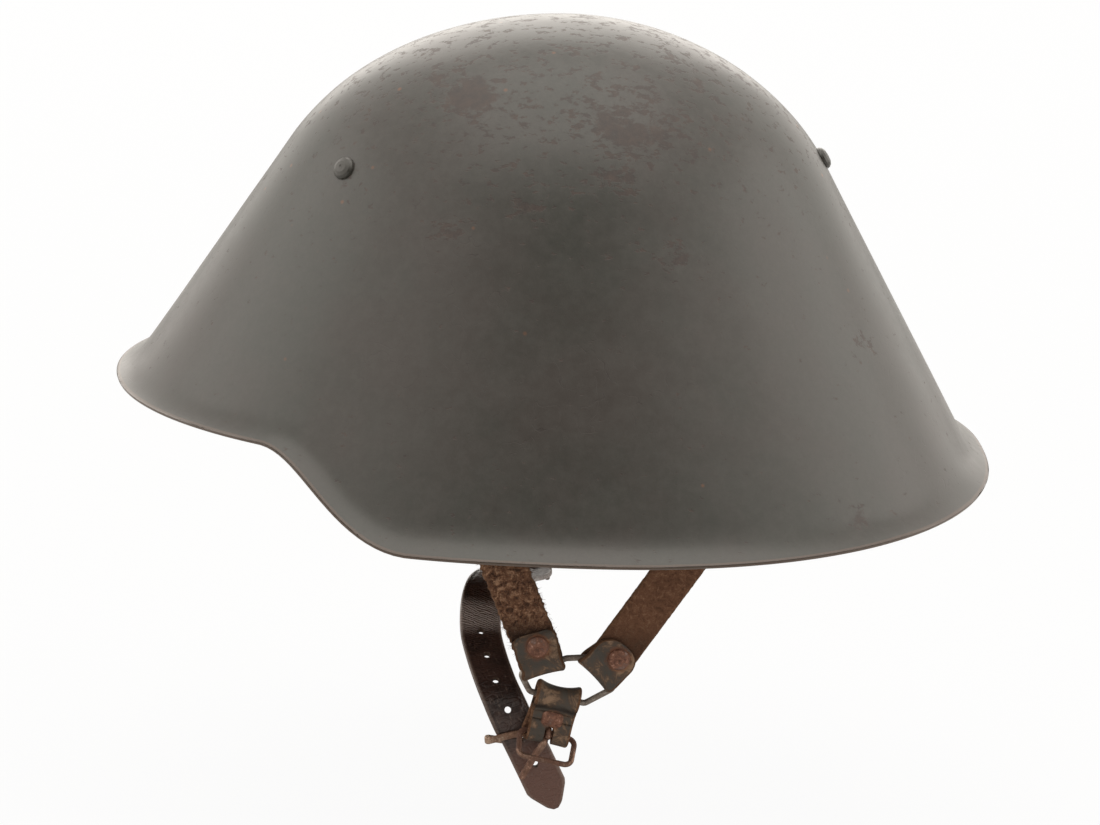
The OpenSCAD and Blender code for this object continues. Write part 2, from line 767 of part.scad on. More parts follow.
// Folds of leather round a wire
pinch = 5.5;
rivet_along = 7.6;
strap_shank_r = rivet_shank_r * 0.75;
flap_len = 12.5;
flap_cut = 4;

// Points round a circle between its two tangents from a point on the +x side
function fold_line(r, far, half) = let (
    reach = norm([far, half]),
    turn = atan2(half, far) + acos(r / reach)
) concat([[far, half]], [for (k = [0 : 16]) let (a = turn + (360 - 2 * turn) * k / 16) r * [cos(a), sin(a)]], [[far, -half]]);

// Leather folded round a wire that runs along Z, the two layers meeting on the +X side
module fold(bore, width, thick) {
    linear_extrude(width, center = true)
    difference() {
        polygon(fold_line(bore + thick, pinch, thick));
        polygon(fold_line(bore, pinch - 0.3, eps));
    }
}

// Turns +X to a direction in the plane of the straps, with Z along the wire
module hang(place, way, y = yoke_y) {
    translate([place.x, y, place.y])
    rotate([0, atan2(-way.y, way.x), 0])
    children();
}

// The outer layer of a fold: from the pinch to a rounded end
module flap(long, width, thick) {
    rotate([-90, 0, 0])
    linear_extrude(thick)
    polygon([
        [pinch - eps, -width / 2], [long - flap_cut, -width / 2], [long - flap_cut * 0.3, -width / 2 + flap_cut * 0.4],
        [long, -width / 2 + flap_cut], [long, width / 2 - flap_cut],
        [long - flap_cut * 0.3, width / 2 - flap_cut * 0.4], [long - flap_cut, width / 2], [pinch - eps, width / 2]
    ]);
}

// Strap legs
module leg(side_sign, x, side) {
    foot = middle_of(side);
    top = bail_low(x, side);
    way = leg_way(x, side);
    across = [way.y, -way.x];
    foot_up = upward(side);
    wire_part = straight_of(side);
    half = leg_w / 2;
    // Where an edge of the leg crosses the line that lies off a wire by the pinch
    function edge(start, s, normal) = start + s * half * across
        + way * (pinch - (s * half * across) * normal) / (way * normal);
    function edge_top(s) = top + s * half * across - way * pinch;
    color(suede)
    side_of(side_sign)
    difference() {
        union() {
            hang(middle_of(wire_part), foot_up)
            fold(ring_r + fold_play, norm(wire_part[1] - wire_part[0]), strap_t);
            translate([0, yoke_y, 0])
            rotate([90, 0, 0])
            linear_extrude(strap_t)
            polygon([
                edge(foot, -1, foot_up) - eps * way, edge(foot, 1, foot_up) - eps * way,
                edge_top(1) + eps * way, edge_top(-1) + eps * way
            ]);
            hang(foot, foot_up)
            flap(flap_len, leg_w * 0.96, strap_t);
            hang(top, -way) {
                fold(bail_r + fold_play, leg_w, strap_t);
                flap(flap_len, leg_w * 0.96, strap_t);
            }
        }
        leg_rivet_places(x, side)
        cylinder(h = 20, r = strap_shank_r, center = true);
    }
}

// Places a rivet along Y, its head outwards, on the outer face of a leg's two folds
module leg_rivet_places(x, side) {
    foot = middle_of(side) + rivet_along * upward(side);
    top = bail_low(x, side) - rivet_along * leg_way(x, side);
    for (p = [foot, top])
        aim([p.x, yoke_y + strap_t, p.y], [0, 1, 0])
        children();
}

module leg_left_front() { leg(1, front_clip_x, front_side); }
module leg_left_rear() { leg(1, rear_clip_x, rear_side); }
module leg_right_front() { leg(-1, front_clip_x, front_side); }
module leg_right_rear() { leg(-1, rear_clip_x, rear_side); }

module strap_rivets(side_sign) {
    color(rusty)
    side_of(side_sign) {
        leg_rivet_places(front_clip_x, front_side)
        rivet(strap_rivet_r, strap_rivet_h, strap_shank_r, 2 * strap_t, rivet_shank_r * 1.2, tail_h);
        leg_rivet_places(rear_clip_x, rear_side)
        rivet(strap_rivet_r, strap_rivet_h, strap_shank_r, 2 * strap_t, rivet_shank_r * 1.2, tail_h);
    }
}

module left_strap_rivets() { strap_rivets(1); }
module right_strap_rivets() { strap_rivets(-1); }

// The ring's wire
module ring_wire(side_sign) {
    color(bare_steel)
    side_of(side_sign)
    upright()
    bent_wire(ring_corners, [for (c = ring_corners) ring_bend], ring_r);
}

module left_ring() { ring_wire(1); }
module right_ring() { ring_wire(-1); }

// Buckle tab, frame, prong and keeper
tab_top = middle_of(tab_side);
tab_down = -upward(tab_side);
tab_across = [-tab_down.y, tab_down.x];
buckle_bar = tab_top + tab_len * tab_down;
bar_fold_r = buckle_r + fold_play + strap_t;
tab_rivet_along = tab_len * 0.56;
prong_loop_w = 2.6;

module buckle_tab() {
    color(dark_leather)
    difference() {
        union() {
            hang(tab_top, tab_down)
            fold(ring_r + hinge_play, tab_w, strap_t);
            hang(buckle_bar, -tab_down)
            fold(buckle_r + fold_play, tab_w, strap_t);
            hang(tab_top, tab_down)
            translate([pinch - eps, -strap_t, -tab_w / 2])
            cube([tab_len - 2 * pinch + 2 * eps, 2 * strap_t, tab_w]);
        }
        hang(buckle_bar, tab_down)
        translate([-3.6, -10, -prong_loop_w / 2 - 0.5])
        cube([20, 20, prong_loop_w + 1]);
        at_tab_rivet()
        cylinder(h = 20, r = strap_shank_r, center = true);
    }
}

module at_tab_rivet() {
    p = tab_top + tab_rivet_along * tab_down;
    aim([p.x, yoke_y + strap_t, p.y], [0, 1, 0])
    children();
}

module tab_rivet() {
    color(rusty)
    at_tab_rivet()
    rivet(strap_rivet_r * 0.85, strap_rivet_h * 0.4, strap_shank_r, 2 * strap_t, rivet_shank_r * 1.2, tail_h);
}

// The frame hangs from its bar, square to the tab, and tilts outwards
module buckle_frame() {
    taper = 0.6;
    color(rusty)
    hang(buckle_bar, tab_down)
    rotate([0, 0, buckle_tilt])
    rotate([90, 0, 0])
    bent_wire(
        [[0, -buckle_half], [buckle_h, -buckle_half + taper], [buckle_h, buckle_half - taper], [0, buckle_half]],
        [bar_bend, buckle_bend, buckle_bend, bar_bend], buckle_r
    );
}

module buckle_prong() {
    bore = buckle_r + running;
    // The shank leans across the strap and lies just outside it
    tip_way = unit(tab_down + 0.28 * tab_across);
    start = buckle_bar + (bore + 0.6) * tab_down;
    tip = buckle_bar + prong_len * tip_way;
    color(rusty)
    difference() {
        union() {
            hang(buckle_bar, tab_down)
            cylinder(h = prong_loop_w, r = bore + 1.1, center = true);
            rod([start.x, yoke_y + 0.3, start.y], [tip.x, yoke_y - 1, tip.y], prong_r);
        }
        hang(buckle_bar, tab_down)
        cylinder(h = 20, r = bore, center = true);
    }
}

strap_face = yoke_y - bar_fold_r - seat_curved - keeper_t - keeper_play;
strap_mid_y = strap_face - strap_t / 2;
keeper_mid = [9.6, -80.2];
keeper_lean = 6;

module keeper_loop() {
    deep = strap_t + 2 * keeper_play;
    module outline(grow) {
        translate([-keeper_len / 2 + deep / 2, 0])
        circle(r = deep / 2 + grow);
        translate([keeper_len / 2 - deep / 2, 0])
        circle(r = deep / 2 + grow);
        square([keeper_len - deep, deep + 2 * grow], center = true);
    }
    color(keeper_colour)
    translate([keeper_mid.x, strap_mid_y, keeper_mid.y])
    rotate([0, keeper_lean, 0])
    linear_extrude(keeper_w, center = true)
    difference() {
        outline(keeper_t);
        outline(0);
    }
}

// Chin strap
// A point beside the far ring's wire: along the strap, which leads off inwards, and out to its lower face
far_down = [tab_down.x, 0, tab_down.y];
far_way = cos(far_lean) * far_down + [0, sin(far_lean), 0];
far_out = sin(far_lean) * far_down - [0, cos(far_lean), 0];
function far_point(along, out) = [tab_top.x, -yoke_y, tab_top.y] + along * far_way + out * far_out;

// The end folded round the far wire: the flap outside, round the wire, then the strap inside
fold_mid_r = ring_r + hinge_play + strap_t / 2;
layer = strap_t / 2 + seat / 2;
chin_fold = concat(
    [far_point(12, layer), far_point(pinch + 1, layer)],
    [for (k = [0 : 10]) let (a = 60 + 24 * k) far_point(fold_mid_r * cos(a), fold_mid_r * sin(a))],
    [far_point(pinch + 1, -layer)]
);

// Points along the middle of the strap, from the far ring to just above the keeper. Across the helmet
// each lies at a share of the way from the middle to the strap's plane.
chin_route = concat(
    [far_point(pinch + 1, -layer), far_point(pinch + 6, -layer)],
    [for (p = [[5, -0.7, -63.5], [8, -0.49, -59], [11, -0.26, -52.5], [14.5, -0.05, -45.4], [18.5, 0.16, -39.8],
        [22.5, 0.35, -38.4], [25, 0.49, -42.4], [25.4, 0.62, -49.8], [23.4, 0.74, -56], [20.4, 0.841, -62.4],
        [17.9, 0.894, -67]]) [p.x, p.y * yoke_y, p.z]],
    [[15.5, strap_mid_y - 0.5, -71.6], [13.3, strap_mid_y, -75.9], [10.8, strap_mid_y, -79.8],
        [5.6, strap_mid_y, -89.8], [0.2, strap_mid_y, -100.4], [-2.9, strap_mid_y, -106.6]]
);
chin_steps = 4;
punch_sides = 8;

function between(a, b, c, d, t) = 0.5 * ((2 * b) + (c - a) * t + (2 * a - 5 * b + 4 * c - d) * t * t
    + (3 * b - a - 3 * c + d) * t * t * t);
chin_last = len(chin_route) - 1;
chin_line = concat(chin_fold, [for (i = [0 : chin_last - 1], k = [0 : chin_steps - 1]) if (i + k > 0)
    between(chin_route[max(i - 1, 0)], chin_route[i], chin_route[i + 1], chin_route[min(i + 2, chin_last)], k / chin_steps)],
    [chin_route[chin_last]]);
chin_end = len(chin_line) - 1;

// Length of the strap from each station to the tip
function to_tip(i) = i >= chin_end ? 0 : norm(chin_line[i + 1] - chin_line[i]) + to_tip(i + 1);
chin_left = [for (i = [0 : chin_end]) to_tip(i)];
function chin_along(i) = unit(chin_line[min(i + 1, chin_end)] - chin_line[max(i - 1, 0)]);

// The width runs along the far wire in the fold, and along the helmet after it
function chin_across(i) = let (
    t = chin_along(i),
    lie = i < len(chin_fold) ? [tab_across.x, 0, tab_across.y] : [1, 0, 0]
) unit(lie - (lie * t) * t);
function chin_face(i) = cross(chin_across(i), chin_along(i));

module chin_holes() {
    for (h = [0 : strap_holes - 1])
        let (
            wanted = tip_to_hole + h * hole_pitch,
            i = [for (k = [0 : chin_end - 1]) if (chin_left[k] >= wanted && chin_left[k + 1] < wanted) k][0],
            share = (chin_left[i] - wanted) / (chin_left[i] - chin_left[i + 1])
        )
        aim(chin_line[i] * (1 - share) + chin_line[i + 1] * share, chin_face(i))
        cylinder(h = 4 * strap_t, r = hole_r, center = true, $fn = punch_sides);
}

module chin_strap() {
    points = [for (i = [0 : chin_end]) let (
        wide = chin_w / 2 * min(1, 0.25 + 0.75 * chin_left[i] / tip_len),
        across = wide * chin_across(i),
        thick = strap_t / 2 * chin_face(i)
    ) each [chin_line[i] + across + thick, chin_line[i] - across + thick,
        chin_line[i] - across - thick, chin_line[i] + across - thick]];
    last = 4 * chin_end;
    color(dark_leather)
    difference() {
        polyhedron(points = points, faces = concat(
            [[0, 2, 1], [0, 3, 2], [last, last + 1, last + 2], [last, last + 2, last + 3]],
            [for (i = [0 : chin_end - 1], s = [0 : 3]) each [
                [4 * i + s, 4 * i + 4 + (s + 1) % 4, 4 * i + 4 + s],
                [4 * i + s, 4 * i + (s + 1) % 4, 4 * i + 4 + (s + 1) % 4]
            ]]));
        chin_holes();
    }
}

module at_chin_rivet() {
    aim(far_point(rivet_along + 1, strap_t + seat / 2), far_out)
    children();
}

module chin_strap_rivet() {
    color(rusty)
    at_chin_rivet()
    rivet(strap_rivet_r, strap_rivet_h, strap_shank_r, 2 * strap_t + seat, rivet_shank_r * 1.2, tail_h);
}

module hanger_front_left() { hanger(rivet_turn); }
module hanger_front_right() { hanger(-rivet_turn); }
module hanger_rear() { hanger(180); }

shell();
shell_rivets();
rivet_washers();
hanger_front_left();
hanger_front_right();
hanger_rear();
hanger_rivets();
carrier_ring();
inner_band();
band_springs();
felt_pad();
leather_liner();
liner_rivets();
drawstring();
clip_left_front();
clip_left_rear();
clip_right_front();
clip_right_rear();
clip_rivets();
bail_left_front();
bail_left_rear();
bail_right_front();
bail_right_rear();
leg_left_front();
leg_left_rear();
leg_right_front();
leg_right_rear();
left_strap_rivets();
right_strap_rivets();
left_ring();
right_ring();
buckle_tab();
tab_rivet();
buckle_frame();
buckle_prong();
keeper_loop();
chin_strap();
chin_strap_rivet();
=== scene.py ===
import math

import bpy
import numpy as np
from mathutils import Matrix, Vector


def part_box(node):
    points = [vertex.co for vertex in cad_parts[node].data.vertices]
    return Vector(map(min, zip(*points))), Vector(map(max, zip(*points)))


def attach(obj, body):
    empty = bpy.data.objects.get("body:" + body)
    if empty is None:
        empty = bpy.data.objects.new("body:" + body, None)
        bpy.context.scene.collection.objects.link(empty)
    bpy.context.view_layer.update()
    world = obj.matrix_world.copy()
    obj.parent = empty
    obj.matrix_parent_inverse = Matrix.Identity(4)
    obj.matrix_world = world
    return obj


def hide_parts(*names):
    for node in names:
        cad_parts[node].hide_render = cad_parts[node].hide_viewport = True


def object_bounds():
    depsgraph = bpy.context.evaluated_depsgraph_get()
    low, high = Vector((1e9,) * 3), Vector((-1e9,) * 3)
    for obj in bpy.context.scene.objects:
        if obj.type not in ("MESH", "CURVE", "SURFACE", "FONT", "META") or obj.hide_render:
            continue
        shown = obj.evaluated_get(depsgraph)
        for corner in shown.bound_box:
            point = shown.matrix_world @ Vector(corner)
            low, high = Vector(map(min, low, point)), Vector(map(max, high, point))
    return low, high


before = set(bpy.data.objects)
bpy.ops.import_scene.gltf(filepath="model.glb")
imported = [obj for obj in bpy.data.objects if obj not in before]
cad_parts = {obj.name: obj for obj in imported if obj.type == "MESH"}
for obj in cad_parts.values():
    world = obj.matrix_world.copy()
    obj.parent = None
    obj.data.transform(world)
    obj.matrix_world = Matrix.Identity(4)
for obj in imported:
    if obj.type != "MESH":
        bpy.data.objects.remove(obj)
cad_low, cad_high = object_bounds()

# The camera stands a little above the rim on the wearer's left, square to the helmet's length,
# and rolls slightly, so that the visor points to the left of the picture.
view_yaw = 0.068
view_elevation = 0.238
view_roll = 0.05
view_distance = 2.2
view_centre = Vector((0, 0, 0.08))
aim_right = -0.004
aim_up = -0.0605
lens_mm = 200.2

back = Vector((
    math.sin(view_yaw) * math.cos(view_elevation),
    math.cos(view_yaw) * math.cos(view_elevation),
    math.sin(view_elevation),
))
level_right = Vector((0, 0, 1)).cross(back).normalized()
level_up = back.cross(level_right)
picture_right = level_right * math.cos(view_roll) + level_up * math.sin(view_roll)
picture_up = level_up * math.cos(view_roll) - level_right * math.sin(view_roll)
camera_place = view_centre + view_distance * back
camera_aim = view_centre + aim_right * picture_right + aim_up * picture_up
away = (camera_place - camera_aim).normalized()
across = picture_up.cross(away).normalized()
upward = away.cross(across)
camera = bpy.data.objects.new("camera", bpy.data.cameras.new("camera"))
camera.data.lens = lens_mm
camera.data.sensor_width = 36
camera.data.clip_end = 60
camera.matrix_world = Matrix.Translation(camera_place) @ Matrix((across, upward, away)).transposed().to_4x4()
bpy.context.scene.collection.objects.link(camera)
bpy.context.scene.camera = camera
bpy.context.scene.view_settings.view_transform = "Standard"

# The studio: a white room with large soft lamps on both sides, above and behind, and a pale floor
# a little below the strap. The side from which the picture is taken is left darker.
room_light = 0.6
room_gloss = 1.5
room_dark = 0.02
warm_white = (1.0, 0.95, 0.885)
floor_gap = 0.03
floor_size = 12.0
floor_white = 0.86
floor_glow = 0.93


def new_material(name):
    """An empty node material and its node tree."""
    material = bpy.data.materials.new(name)
    material.use_nodes = True
    material.node_tree.nodes.clear()
    return material, material.node_tree


def new_node(tree, kind, inputs=None, **settings):
    """Adds one shader node. Each input is a plain value, or another node's output, which is linked."""
    node = tree.nodes.new("ShaderNode" + kind)
    for name, value in settings.items():
        setattr(node, name, value)
    for name, value in (inputs or {}).items():
        if isinstance(value, bpy.types.NodeSocket):
            tree.links.new(value, node.inputs[name])
        else:
            node.inputs[name].default_value = value
    return node


def add(tree, kind, inputs=None, out=0, **settings):
    """Adds one shader node and gives its first output, or the one that is named."""
    return new_node(tree, kind, inputs, **settings).outputs[out]


def linear(code):
    """The linear colour, with alpha, of an sRGB hex code such as #4c4b42."""
    parts = [int(code[i:i + 2], 16) / 255 for i in (1, 3, 5)]
    return (*[p / 12.92 if p <= 0.04045 else ((p + 0.055) / 1.055) ** 2.4 for p in parts], 1)


def soft_lamp(name, place, aim, size, watts):
    """A square area lamp at a place, turned to face a point."""
    lamp = bpy.data.objects.new(name, bpy.data.lights.new(name, "AREA"))
    lamp.data.shape = "SQUARE"
    lamp.data.size = size
    lamp.data.energy = watts
    lamp.data.color = warm_white
    lamp.matrix_world = Matrix.Translation(place) @ (
        Vector(place) - Vector(aim)).to_track_quat("Z", "Y").to_matrix().to_4x4()
    bpy.context.scene.collection.objects.link(lamp)


soft_lamp("front_side_lamp", (1.55, -0.05, 0.5), (0, 0, 0.06), 1.3, 4)
soft_lamp("rear_side_lamp", (-1.5, 0.12, 0.5), (0, 0, 0.06), 1.3, 5)
soft_lamp("top_lamp", (0.0, 0.1, 1.7), (0, 0, 0.1), 1.5, 8)
soft_lamp("far_lamp", (0.0, -1.6, 0.9), (0, 0, 0.1), 1.5, 9)
soft_lamp("low_lamp", (0.1, 1.5, -0.35), (0, 0, -0.02), 0.8, 1.5)

world = bpy.data.worlds.new("white_room")
bpy.context.scene.world = world
world.use_nodes = True
room = world.node_tree
room.nodes.clear()
ray = new_node(room, "LightPath").outputs
direction = add(room, "TexCoord", out="Generated")
facing = add(room, "VectorMath", {0: direction, 1: (0.0, 0.97, 0.12)}, "Value", operation="DOT_PRODUCT")
dimming = add(room, "MapRange", {"Value": facing, "From Min": 0.6, "From Max": 0.98, "To Min": room_gloss,
                                 "To Max": room_dark}, interpolation_type="SMOOTHSTEP")
see_through = add(room, "Math", {0: ray["Is Camera Ray"], 1: ray["Is Transmission Ray"]},
    operation="MAXIMUM")
glossy = add(room, "Mix", {0: ray["Is Glossy Ray"], 2: room_light, 3: dimming})
strength = add(room, "Mix", {0: see_through, 2: glossy, 3: 1.0})
tint = add(room, "Mix", {0: see_through, 6: (*warm_white, 1), 7: (1, 1, 1, 1)}, "Result", data_type="RGBA")
white = add(room, "Background", {"Color": tint, "Strength": strength})
new_node(room, "OutputWorld", {"Surface": white})

floor_material, tree = new_material("white_floor")
camera_ray = add(tree, "LightPath", out="Is Camera Ray")
underside = add(tree, "NewGeometry", out="Backfacing")
paper = add(tree, "BsdfDiffuse", {"Color": (floor_white, floor_white, floor_white, 1)})
glow = add(tree, "Emission", {"Color": (1, 1, 1, 1), "Strength": 1.0})
lit = add(tree, "MixShader", {0: add(tree, "Math", {0: camera_ray, 1: floor_glow}, operation="MULTIPLY"),
    1: paper, 2: glow})
one_sided = add(tree, "MixShader", {0: underside, 1: lit, 2: add(tree, "BsdfTransparent")})
new_node(tree, "OutputMaterial", {"Surface": one_sided})
half = floor_size / 2
level = cad_low.z - floor_gap
floor_mesh = bpy.data.meshes.new("floor")
floor_corners = [(-half, -half, level), (half, -half, level), (half, half, level), (-half, half, level)]
floor_mesh.from_pydata(floor_corners, [], [(0, 1, 2, 3)])
floor_mesh.materials.append(floor_material)
floor = bpy.data.objects.new("floor", floor_mesh)
bpy.context.scene.collection.objects.link(floor)

# The shell: one sheet of steel pressed to a high round crown, sloping sides and a flared lip that
# steps up to the visor. It is painted a matt grey-green, and the paint is worn through on the crown.
shell_low, shell_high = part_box("shell")
crown_height = shell_high.z
front_reach = shell_high.x
rear_reach = -shell_low.x
side_reach = shell_high.y
sheet = 0.0013
visor_rise = 0.028
rear_rise = 0.008
step_middle = math.radians(60)
step_half = math.radians(12.5)
dome_heights = {"front": 0.086, "rear": 0.094, "side": 0.106}
slopes = {"front": math.radians(32), "rear": math.radians(29.5), "side": math.radians(26.5)}
squareness = {"front": 2.1, "rear": 2.36}
lip_flare = 0.005
lip_height = 0.014
lip_power = 4.5
shell_columns = 300
outer_rows = 120
inner_rows = 60
nose_rows = 5
wander = 0.00012
square_from = 0.06
square_to = 0.17
lip_back = 0.35
lip_bulge = 0.7


def smooth(low, high, value):
    """Rises from 0 at low to 1 at high, as 3 t^2 - 2 t^3."""
    t = np.clip((value - low) / (high - low), 0, 1)
    return t * t * (3 - 2 * t)


def signed_power(value, power):
    """The power of the size of a number, with its sign kept."""
    return np.sign(value) * np.abs(value) ** power


def bell(distance, reach):
    """Falls smoothly from 1 to 0: e to the power of minus the square of distance over reach."""
    return np.exp(-(distance / reach) ** 2)


def rim_height(turn):
    """Rim height by turn from straight ahead: the visor's, a step down to the side, a rise to the rear."""
    t = np.abs(np.arctan2(np.sin(turn), np.cos(turn)))
    step = smooth(step_middle - step_half, step_middle + step_half, t)
    return visor_rise * (1 - step) + step * rear_rise * smooth(math.pi / 2, math.pi, t)


def reach_at(height, side, reach, rim):
    """Reach at a height: an ellipse's quarter down to where it has the side's slope, then straight."""
    dome, slope = dome_heights[side], math.tan(slopes[side])
    turn = math.acos(dome * slope / (reach - lip_flare - (crown_height - dome - rim) * slope))
    axis = dome * slope * math.tan(turn)
    slope_top = crown_height - dome * (1 - math.cos(turn))
    share = np.clip(1 - (crown_height - height) / dome, -1, 1)
    round_part = axis * np.sqrt(1 - share ** 2)
    straight_part = axis * math.sin(turn) + (slope_top - height) * slope
    return np.where(height > slope_top, round_part, straight_part)


def shell_points(turn, height):
    """The outer face: in plan a superellipse of the reaches at each height, with the lip's flare added."""
    ahead = np.cos(turn) > 0
    along = np.where(ahead, reach_at(height, "front", front_reach, visor_rise),
                     reach_at(height, "rear", rear_reach, rear_rise))
    aside = reach_at(height, "side", side_reach, 0)
    flare = lip_flare * np.clip(1 - (height - rim_height(turn)) / lip_height, 0, 1) ** lip_power
    n = np.where(ahead, squareness["front"], squareness["rear"])
    n = 2 + (n - 2) * smooth(square_from, square_to, crown_height - height)
    return np.stack([(along + flare) * signed_power(np.cos(turn), 2 / n),
                     (aside + flare) * signed_power(np.sin(turn), 2 / n), height], axis=-1)


def shell_rows(turn, share):
    """The outer face by turn and share of the way from crown to rim, the shares eased at both ends."""
    drop = (crown_height - rim_height(turn)) * (1 - np.cos(math.pi * share)) / 2
    return shell_points(turn, crown_height - drop)


def unit(vectors):
    """The vectors divided by their lengths."""
    return vectors / np.maximum(np.linalg.norm(vectors, axis=-1, keepdims=True), 1e-12)


def full_turn(count):
    """Angles all the way round, evenly spaced, the last one short of the first."""
    return np.linspace(0, 2 * math.pi, count, endpoint=False)


def ripple(points, length):
    """A smooth wander between -1 and 1: a mean of sines of three slanted directions, length apart."""
    k = 2 * math.pi / length
    x, y, z = points[..., 0], points[..., 1], points[..., 2]
    return (np.sin(k * (x + 0.6 * y + 0.3 * z)) + np.sin(k * (0.4 * x - y + 0.7 * z) + 1.7)
            + np.sin(k * (0.5 * x + 0.8 * y - z) + 4.1)) / 3


def grid_faces(rows, columns, wrap=True):
    """Four-sided faces between the rows and columns of a grid; with wrap the last column joins the first."""
    row, column = np.meshgrid(np.arange(rows - 1), np.arange(columns if wrap else columns - 1), indexing="ij")
    beside = (column + 1) % columns
    return np.stack([row * columns + column, (row + 1) * columns + column,
                     (row + 1) * columns + beside, row * columns + beside], axis=-1).reshape(-1, 4)


def merge_doubles(mesh, distance):
    """Joins points that lie on one another, as at a pole, and drops the faces left without area."""
    import bmesh
    work = bmesh.new()
    work.from_mesh(mesh)
    bmesh.ops.remove_doubles(work, verts=work.verts, dist=distance)
    bmesh.ops.dissolve_degenerate(work, edges=work.edges, dist=distance / 10)
    work.to_mesh(mesh)
    work.free()


def make_piece(name, points, faces, material, body, slot, stands_for=(), marks=None, sheet_uv=None,
               close=0.0):
    """A smooth mesh object with its point attributes, on its body, in place of its CAD nodes."""
    mesh = bpy.data.meshes.new(name)
    mesh.from_pydata(np.asarray(points, float).reshape(-1, 3).tolist(), [], np.asarray(faces).tolist())
    for mark, values in (marks or {}).items():
        layer = mesh.attributes.new(mark, "FLOAT", "POINT")
        layer.data.foreach_set("value", np.asarray(values, np.float32).ravel())
    if sheet_uv is not None:
        corners = np.empty(len(mesh.loops), np.int32)
        mesh.loops.foreach_get("vertex_index", corners)
        layer = mesh.uv_layers.new(name="UVMap")
        layer.uv.foreach_set("vector", np.asarray(sheet_uv, np.float32).reshape(-1, 2)[corners].ravel())
    if close:
        merge_doubles(mesh, close)
    mesh.polygons.foreach_set("use_smooth", np.ones(len(mesh.polygons), bool))
    mesh.materials.append(material)
    mesh.update()
    made = bpy.data.objects.new(name, mesh)
    bpy.context.scene.collection.objects.link(made)
    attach(made, body)
    if stands_for:
        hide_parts(*stands_for)
    return made


def normals_of(grid):
    """Unit normals of a grid of points, from its differences by row and by column round the ring."""
    ring = np.concatenate([grid[:, -1:], grid, grid[:, :1]], axis=1)
    return unit(np.cross(np.gradient(grid, axis=0), np.gradient(ring, axis=1)[:, 1:-1]))


# Semi-matt air-drying enamel over red-brown primer, brushed or sprayed on: faint orange peel, chips
# down to the primer and to brown oxide on the crown, rust in pinholes, fine scratches, a bare sheet edge.
paint_green = linear("#31322c")
paint_brown = linear("#37312c")
paint_faded = linear("#4c4a46")
primer_brown = linear("#2c2421")
oxide = linear("#483a33")
rust_orange = linear("#84522f")
bare_edge = linear("#54463c")


def per_metre(millimetres):
    """The texture scale at which one cell or wave is this many millimetres across."""
    return 1000 / millimetres


def summed_ramp(tree, first, amount, second, low, high):
    """Rises smoothly from 0 to 1 as the first value times an amount, plus the second, goes from low to
    high."""
    return add(tree, "MapRange", {
        "Value": add(tree, "Math", {0: first, 1: amount, 2: second}, operation="MULTIPLY_ADD"),
        "From Min": low, "From Max": high}, interpolation_type="SMOOTHSTEP")


def cover(tree, under, over, share, amount):
    """Lays a colour over another one, by an amount of the share."""
    return add(tree, "Mix", {0: add(tree, "Math", {0: share, 1: amount}, operation="MULTIPLY"), 6: under,
        7: over}, "Result", data_type="RGBA")


def finish(tree, colour, roughness, height, depth, strength, **constants):
    """The surface itself: a principled shader with its bumps, and the other sockets' constant values."""
    bump = add(tree, "Bump", {"Height": height, "Distance": depth, "Strength": strength})
    inputs = {"Base Color": colour, "Roughness": roughness, "Normal": bump}
    inputs.update({name.replace("_", " "): value for name, value in constants.items()})
    new_node(tree, "OutputMaterial", {"Surface": add(tree, "BsdfPrincipled", inputs)})


shell_paint, tree = new_material("worn_green_grey_enamel")
spot = add(tree, "TexCoord", out="Object")
wear = add(tree, "Attribute", out="Fac", attribute_name="wear")
cloud = add(tree, "TexNoise", {"Vector": spot, "Scale": per_metre(70), "Detail": 5, "Roughness": 0.6})
tone = add(tree, "Mix", {
    0: add(tree, "MapRange", {"Value": cloud, "From Min": 0.35, "From Max": 0.68},
        interpolation_type="SMOOTHSTEP"), 6: paint_green, 7: paint_brown}, "Result", data_type="RGBA")
grime = add(tree, "TexNoise", {"Vector": spot, "Scale": per_metre(5), "Detail": 8, "Roughness": 0.75})
grime_share = add(tree, "MapRange", {"Value": grime, "From Min": 0.3, "From Max": 0.75},
    interpolation_type="SMOOTHSTEP")
fade_amount = add(tree, "Math", {0: grime_share, 1: 0.34}, operation="MULTIPLY")
fade_crown = add(tree, "Math", {0: fade_amount, 1: wear, 2: fade_amount}, operation="MULTIPLY_ADD")
faded = add(tree, "Mix", {0: fade_crown, 6: tone, 7: paint_faded}, "Result", data_type="RGBA")
# Chips: broad islands and fine flat nicks, more of both where the wear is high
island = add(tree, "TexNoise", {"Vector": spot, "Scale": per_metre(24), "Detail": 9, "Roughness": 0.7,
    "Distortion": 0.3})
nick = add(tree, "TexNoise", {"Vector": add(tree, "Mapping", {"Vector": spot, "Scale": (0.55, 0.8, 1.0)}),
    "Scale": per_metre(2.6), "Detail": 4, "Roughness": 0.68})
chipped = add(tree, "Math", {0: summed_ramp(tree, wear, 0.24, island, 0.73, 0.79),
    1: summed_ramp(tree, wear, 0.2, nick, 0.66, 0.72)}, operation="MAXIMUM")
chip_tone = add(tree, "Mix", {0: grime_share, 6: primer_brown, 7: oxide}, "Result", data_type="RGBA")
worn = cover(tree, faded, chip_tone, chipped, 0.9)
# Pinholes of rust: the middles of a few cells
cell = new_node(tree, "TexVoronoi", {"Vector": spot, "Scale": per_metre(9)}).outputs
cell_pick = add(tree, "SeparateColor", {"Color": cell["Color"]})
pins = add(tree, "Math", {0: summed_ramp(tree, wear, 0.3, cell_pick, 0.94, 1.0),
    1: add(tree, "MapRange", {"Value": cell["Distance"], "From Min": 0.13, "From Max": 0.03},
        interpolation_type="SMOOTHSTEP")}, operation="MULTIPLY")
rusted = cover(tree, worn, rust_orange, pins, 0.6)
